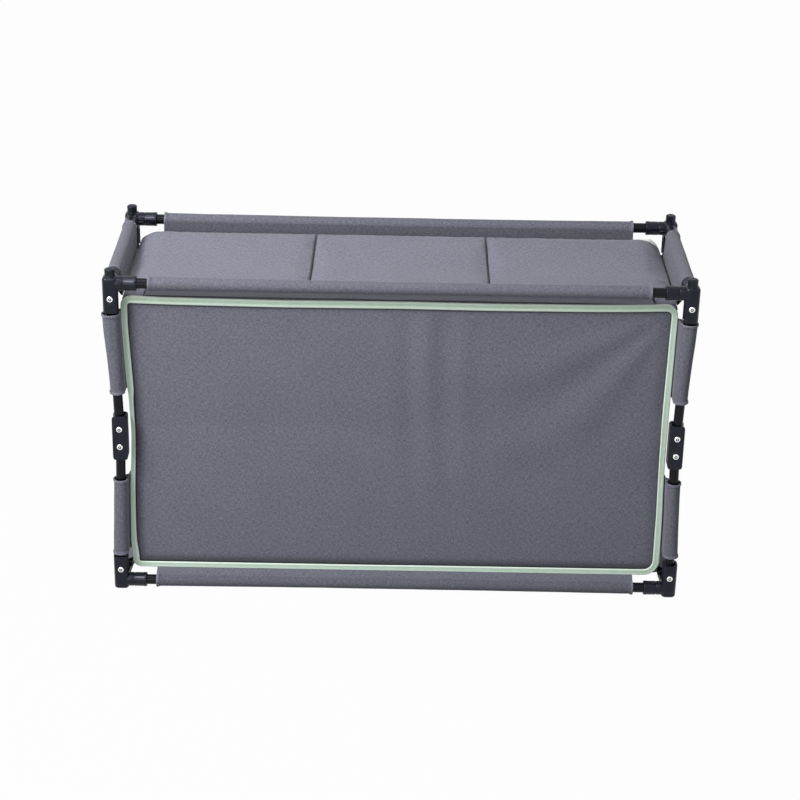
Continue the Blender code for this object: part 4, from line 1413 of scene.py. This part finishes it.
class CUPBOARD_OT_facing(bpy.types.Operator):
    """Sew the cloth border round the open side"""

    bl_idname = "cupboard.facing"
    bl_label = "Back facing"

    def execute(self, context):
        insets = (0.0015, 0.008, 0.016, 0.024, 0.030, 0.0345, 0.0350, 0.0378, 0.0382)
        rings = {inset: outline(inset) for inset in insets}
        count = len(rings[insets[0]])

        def border(index, inset):
            x, z = rings[inset][index % count]
            lift = 0.0006 if inset > 0.0347 else 0.0
            uneven = 0.0006 * ripple(x, z, 11, 0.09) * sin(pi * min(1.0, inset / 0.038))
            return x, BOX_FACE - 0.0003 + lift + uneven, lifted(x, z)

        facing = lay_cloth("open_side_border", range(count + 1), insets, border, closed=True)
        thicken(facing)
        dress(facing, "grey_oxford_canvas", "bottom_frame", ["back_facing"])
        fold_with_frame(facing)
        line = [(x, BOX_FACE + 0.0007, lifted(x, z)) for x, z in outline(0.0352)]
        stitches = sew("open_side_border_stitches", line, lambda p: (0, 1, 0), closed=True)
        dress(stitches, "grey_thread", "bottom_frame")
        fold_with_frame(stitches)
        return {"FINISHED"}


class CUPBOARD_OT_bindings(bpy.types.Operator):
    """Sew the mint tape round the edge of the front and of the open side"""

    bl_idname = "cupboard.bindings"
    bl_label = "Edge bindings"

    def execute(self, context):
        width = context.scene.cupboard_sizes.binding
        # How far in from the edge and how far out from the face the tape runs, from its back leg
        section = (
            (0.0040, -0.0024), (0.0018, -0.0026), (0.0002, -0.0016), (-0.0006, 0.0002),
            (-0.0002, 0.0019), (0.0010, 0.0030), (0.0030, 0.0025), (width - 0.0036, 0.0023),
            (width - 0.0018, 0.0031), (width - 0.0004, 0.0026), (width, 0.0006),
        )
        depth = 0.010
        edge, inner = outline(0.0), outline(depth)
        for name, side, panel, hung in (
            ("front", -1, "front_panel", sagged), ("back", 1, "open_side_border", lifted)
        ):
            def inward(index, inset):
                (x0, z0), (x1, z1) = edge[index % len(edge)], inner[index % len(edge)]
                return x0 + (x1 - x0) * inset / depth, z0 + (z1 - z0) * inset / depth

            def shown(index):
                return tape_width(*edge[index % len(edge)]) if name == "front" else width

            def tape(index, row):
                inset, out = section[row]
                if inset > 0.001 and row > 4:
                    inset *= shown(index) / width
                x, z = inward(index, inset)
                if out > 0.001:
                    out += 0.0004 * ripple(x, z, 21 + side, 0.022)
                return x, side * (BOX_FACE + out), hung(x, z)

            stations, rows = range(len(edge) + 1), range(len(section))
            binding = lay_cloth(name + "_tape", stations, rows, tape, closed=True)
            if side > 0:
                edited(binding, bpy.ops.mesh.flip_normals)
            thicken(binding, 0.0006)
            dress(binding, "mint_grosgrain_tape", "bottom_frame", [name + "_binding"])
            fold_with_frame(binding)
            spots = [inward(index, shown(index) * 0.78) for index in range(len(edge))]
            line = [(x, side * (BOX_FACE + 0.0026), hung(x, z)) for x, z in spots]
            stitches = sew(name + "_tape_stitches", line, lambda p: (0, side, 0), closed=True)
            dress(stitches, "mint_thread", "bottom_frame")
            fold_with_frame(stitches)
        return {"FINISHED"}


# Padded covers, boards and shelf


def rising(distance, reach):
    """How full a pad is at a distance from its edge: nothing at the edge, 1 past its roll."""
    return 1 - (1 - kept(distance / reach)) ** 2.2


def seam_drift(x, depth):
    """How far the top's cloth stands to the right of where it was cut, the left seam most."""
    calm = 1 - min(1.0, abs(x) / 0.42) ** 4
    along = (depth + COVER_FACE) / (2 * COVER_FACE)
    return calm * (-0.0027 + 0.0056 * along * bell((x + COVER_SEAM) / 0.07))


def from_seams(place):
    """How far a point of the padded top lies from the nearer of its seams."""
    seams = (-COVER_SEAM, COVER_SEAM)
    return min(abs(place.x - seam - seam_drift(seam, place.y)) for seam in seams)


def from_ends(x):
    """How far a place across the cover lies from the nearer of its ends."""
    return min(x - COVER_ENDS[0], COVER_ENDS[1] - x)


def sewn_dip(x, depth):
    """How far the cross seams draw a pad down at a place, with the puckers beside them."""
    near = abs(abs(x) - COVER_SEAM)
    # A thread's width of groove between slopes 13 mm wide, which forks towards the back
    dip = 0.0024 * max(0.0, 1 - near / 0.014) ** 1.4 + 0.0058 * max(0.0, 1 - near / 0.0027)
    pucker = 0.0006 * sin(2 * pi * depth / 0.015 + 3 * ripple(x, depth, 31, 0.03))
    dip -= pucker * max(0.0, 1 - near / 0.020) * min(1.0, near / 0.003)
    past_fork = depth - 0.078
    if past_fork > 0:
        crease = max(0.0, 1 - abs(near - past_fork * 0.34) / 0.0030)
        dip += 0.0024 * crease * min(1.0, past_fork / 0.01)
    return dip


def top_surface(x, depth):
    """A point of the padded top."""
    # The rear sleeve pulls the rear edge up
    rear = kept((depth + 0.03) / 0.15)
    pulled = 0.0122 * rear * rear * (3 - 2 * rear)
    # The edge over the side sleeve is a tight roll, 7 mm high
    roll = 0.0070 * rising(from_ends(x), 0.0046)
    slack = 0.0006 * ripple(x, depth, 33, 0.075) + 0.0003 * ripple(x, depth, 34, 0.03)
    full = bpy.context.scene.cupboard_sizes.crown + slack - sewn_dip(x, depth)
    rise = 0.0012 + pulled + full * rising(COVER_FACE - abs(depth), 0.038)
    return Vector(
        (x + seam_drift(x, depth), depth, COVER_LOW + roll + rise * rising(from_ends(x), 0.042))
    )


def base_surface(x, depth):
    """A point of the padded base."""
    slack = 0.0004 * ripple(x, depth, 36, 0.09)
    full = rising(from_ends(x), 0.012) * rising(COVER_FACE - abs(depth), 0.010)
    dip = (0.0022 + slack - 0.4 * sewn_dip(x, depth)) * full
    return Vector((x, depth, BOX_LOW + 0.0022 - dip))


def blow_up(cloth, sewn, cap=0.0032):
    """Let air pressure fill a padded sheet between its sewn points, then keep the result."""
    take(cloth)
    cloth.vertex_groups.new(name="sewn").add(sewn, 1.0, "REPLACE")
    before = [v.co.copy() for v in cloth.data.vertices]
    step = cloth.modifiers.new("cloth", "CLOTH")
    # The cloth over the padding is cut a little larger than the seams allow, so it puckers
    for name, value in {
        "quality": 6, "mass": 0.25, "tension_stiffness": 12, "compression_stiffness": 12,
        "shear_stiffness": 4, "bending_stiffness": 0.4, "vertex_group_mass": "sewn",
        "use_pressure": True, "uniform_pressure_force": 4, "shrink_min": -0.012,
    }.items():
        setattr(step.settings, name, value)
    step.settings.effector_weights.gravity = 0
    scene = bpy.context.scene
    for moment in range(1, 21):
        scene.frame_set(moment)
    bpy.ops.object.modifier_apply(modifier=step.name)
    scene.frame_set(1)
    for vertex, start in zip(cloth.data.vertices, before):
        moved = vertex.co - start
        if moved.length > cap:
            vertex.co = start + moved.normalized() * cap
    cloth.vertex_groups.clear()


class CUPBOARD_OT_covers(bpy.types.Operator):
    """Pad the top and the base, with their sewn channels"""

    bl_idname = "cupboard.covers"
    bl_label = "Padded covers"

    def execute(self, context):
        left, right = COVER_ENDS
        across = [x for x in spaced(left, right, 150) if abs(abs(x) - COVER_SEAM) > 0.0145]
        for seam in (-COVER_SEAM, COVER_SEAM):
            across.append(seam)
            for beside in (0.0005, 0.0011, 0.0018, 0.0027, 0.0036, 0.0058, 0.0090, 0.0135):
                across += [seam - beside, seam + beside]
        for inside in (0.0006, 0.0014, 0.0024, 0.0036):
            across += [left + inside, right - inside]
        across.sort()
        # Closer together towards the front and the rear
        depths = [COVER_FACE * (0.8 * (2 * s / 46 - 1) - 0.2 * cos(pi * s / 46)) for s in range(47)]

        top = lay_cloth("padded_top", across, depths, top_surface)
        blow_up(top, [
            v.index for v in top.data.vertices
            if min(from_ends(v.co.x), COVER_FACE - abs(v.co.y)) < 0.0016
            or from_seams(v.co) < 0.0030
        ])
        thicken(top, 0.0058)
        # Painted light: the padded top is a paler copy of the cloth
        dress(top, "grey_cover_canvas", "top_frame", ["top_cover"])
        # Painted shadow on what is sewn down: the seams, both ends and the rear rim
        top.data.materials.append(finish_named("grey_seam_canvas"))
        for face in top.data.polygons:
            place = face.center
            if (from_ends(place.x) < 0.0026 or COVER_FACE - place.y < 0.0022
                    or from_seams(place) < 0.0010):
                face.material_index = 1

        base = lay_cloth("padded_base", across, depths, base_surface)
        edited(base, bpy.ops.mesh.flip_normals)
        thicken(base, 0.0056)
        # Painted light: the same paler copy of the cloth
        dress(base, "grey_cover_canvas", "bottom_frame", ["base_cover"])

        rows = []
        for seam in (-COVER_SEAM, COVER_SEAM):
            sewn = spaced(-0.122, 0.122, 60)
            line = [top_surface(seam, depth) + Vector((0, 0, 0.0006)) for depth in sewn]
            rows.append(sew("padded_top_stitches", line, lambda p: (0, 0, 1)))
        stitches = joined("padded_top_stitches", *rows)
        dress(stitches, "grey_thread", "top_frame")
        return {"FINISHED"}


class CUPBOARD_OT_boards(bpy.types.Operator):
    """Make the boards under the padded top and the shelf"""

    bl_idname = "cupboard.boards"
    bl_label = "Boards and shelf"

    def execute(self, context):
        for node, name, radius, edge, body in (
            ("top_board_left", "lined_top_board_left", 0.006, 0.0012, "top_frame"),
            ("top_board_middle", "lined_top_board_middle", 0.006, 0.0012, "top_frame"),
            ("top_board_right", "lined_top_board_right", 0.006, 0.0012, "top_frame"),
            ("shelf_panel", "lined_shelf", 0.004, 0.0016, "shelf"),
        ):
            low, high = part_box(node)
            board = soften(rounded_bar(name, low, high, radius, 4), edge)
            # Its cloth is laid flat from above, in metres
            marks = board.data.uv_layers.active or board.data.uv_layers.new(name="UVMap")
            for loop in board.data.loops:
                spot = board.data.vertices[loop.vertex_index].co
                marks.data[loop.index].uv = (spot.x + spot.z, spot.y + spot.z)
            dress(board, "grey_canvas_lining", body, [node])
        y, z = high[1] - 0.008, high[2] + 0.0001
        line = [(x, y, z) for x in spaced(low[0] + 0.01, high[0] - 0.01, 80)]
        stitches = sew("shelf_stitches", line, lambda p: (0, 0, 1))
        dress(stitches, "grey_thread", "shelf")
        return {"FINISHED"}


# Studio


def white_to_the_eye(tree, share, lit, output):
    """Show this share of white to rays that reach the eye, and the lit surface to the others."""
    rays = add_node(tree, "LightPath").outputs
    seen = rays["Is Camera Ray"]
    for other in ("Is Glossy Ray", "Is Transmission Ray"):
        seen = add_node(tree, "Math", {"operation": "MAXIMUM"}, (seen, rays[other]))
    amount = add_node(tree, "Math", {"operation": "MULTIPLY"}, (seen, share))
    white = add_node(tree, "Emission", (), {"Color": (1, 1, 1, 1), "Strength": 1.0})
    feed(tree, output, {"Surface": add_node(tree, "MixShader", (), (amount, lit, white))})


class CUPBOARD_OT_studio(bpy.types.Operator):
    """Set the floor, the lights, the surround and the camera"""

    bl_idname = "cupboard.studio"
    bl_label = "Studio"

    def execute(self, context):
        scene, studio = context.scene, context.scene.cupboard_studio
        start_fresh()
        bpy.ops.mesh.primitive_plane_add(size=14, location=(0, 2, 0))
        floor = context.object
        floor.name = "studio_floor"
        settle(floor)
        finish, tree, shader, _ = new_finish("white_paper_sweep", "Object", {
            "Roughness": 0.9, "Base Color": solid(scene.cupboard_colours.floor),
            "Specular IOR Level": 0.0,
        })
        # The eye sees the paper almost white, with only a trace of the shadow left on it
        white_to_the_eye(tree, 0.98, shader, tree.nodes["Material Output"])
        floor.data.materials.append(finish)

        scene.world = scene.world or bpy.data.worlds.new("pale_room")
        scene.world.use_nodes = True
        tree = scene.world.node_tree
        tree.nodes.clear()
        inputs = {"Color": (0.98, 0.99, 1.0, 1), "Strength": studio.surround}
        room = add_node(tree, "Background", (), inputs)
        white_to_the_eye(tree, 1.0, room, add_node(tree, "OutputWorld"))

        aim = Vector((0, 0, 0.3))
        for name, place, size, power in (
            ("key_softbox", (-1.5, -1.25, 2.0), (1.0, 0.5), studio.key_power),
            ("strip_softbox", (-0.45, -0.50, 1.75), (1.9, 0.05), studio.top_power),
            ("fill_softbox", (-1.3, -2.4, 1.0), (2.0, 1.0), studio.fill_power),
        ):
            start_fresh()
            turn = (aim - Vector(place)).to_track_quat("-Z", "Y").to_euler()
            bpy.ops.object.light_add(type="AREA", location=place, rotation=turn)
            lamp = context.object
            lamp.name = name
            lamp.data.shape = "RECTANGLE"
            lamp.data.size, lamp.data.size_y = size
            lamp.data.energy = power

        start_fresh()
        bpy.ops.object.camera_add(
            location=tuple(studio.camera_place), rotation=tuple(studio.camera_turn)
        )
        camera = context.object
        camera.name = "product_camera"
        camera.data.sensor_width = 36
        camera.data.lens = studio.camera_lens
        scene.camera = camera
        scene.view_settings.view_transform = "Standard"
        return {"FINISHED"}


STEPS = (
    CUPBOARD_OT_mouldings, CUPBOARD_OT_knees, CUPBOARD_OT_rivets, CUPBOARD_OT_tubes,
    CUPBOARD_OT_rail_sleeves, CUPBOARD_OT_leg_sleeves, CUPBOARD_OT_walls, CUPBOARD_OT_facing,
    CUPBOARD_OT_bindings, CUPBOARD_OT_covers, CUPBOARD_OT_boards, CUPBOARD_OT_studio,
)
SETTINGS = {
    "cupboard_sizes": CupboardSizes,
    "cupboard_colours": CupboardColours,
    "cupboard_studio": CupboardStudio,
}


class CUPBOARD_PT_panel(bpy.types.Panel):
    """Lists the cupboard's pieces and settings"""

    bl_label = "Camp cupboard"
    bl_idname = "CUPBOARD_PT_panel"
    bl_space_type = "VIEW_3D"
    bl_region_type = "UI"
    bl_category = "Cupboard"

    def draw(self, context):
        for step in STEPS:
            self.layout.operator(step.bl_idname)
        for group in SETTINGS:
            settings = getattr(context.scene, group)
            box = self.layout.box()
            for name in settings.bl_rna.properties.keys():
                if name not in ("rna_type", "name"):
                    box.prop(settings, name)


CLASSES = (*SETTINGS.values(), *STEPS, CUPBOARD_PT_panel)


def register():
    """Add the settings, the operators and the panel."""
    for item in CLASSES:
        bpy.utils.register_class(item)
    for name, group in SETTINGS.items():
        setattr(bpy.types.Scene, name, bpy.props.PointerProperty(type=group))


def unregister():
    """Take the settings, the operators and the panel away."""
    for name in SETTINGS:
        delattr(bpy.types.Scene, name)
    for item in reversed(CLASSES):
        bpy.utils.unregister_class(item)


def main():
    """Build every piece in order."""
    register()
    for step in STEPS:
        group, name = step.bl_idname.split(".")
        getattr(getattr(bpy.ops, group), name)()
    bpy.context.view_layer.update()


if __name__ == "__main__":
    main()
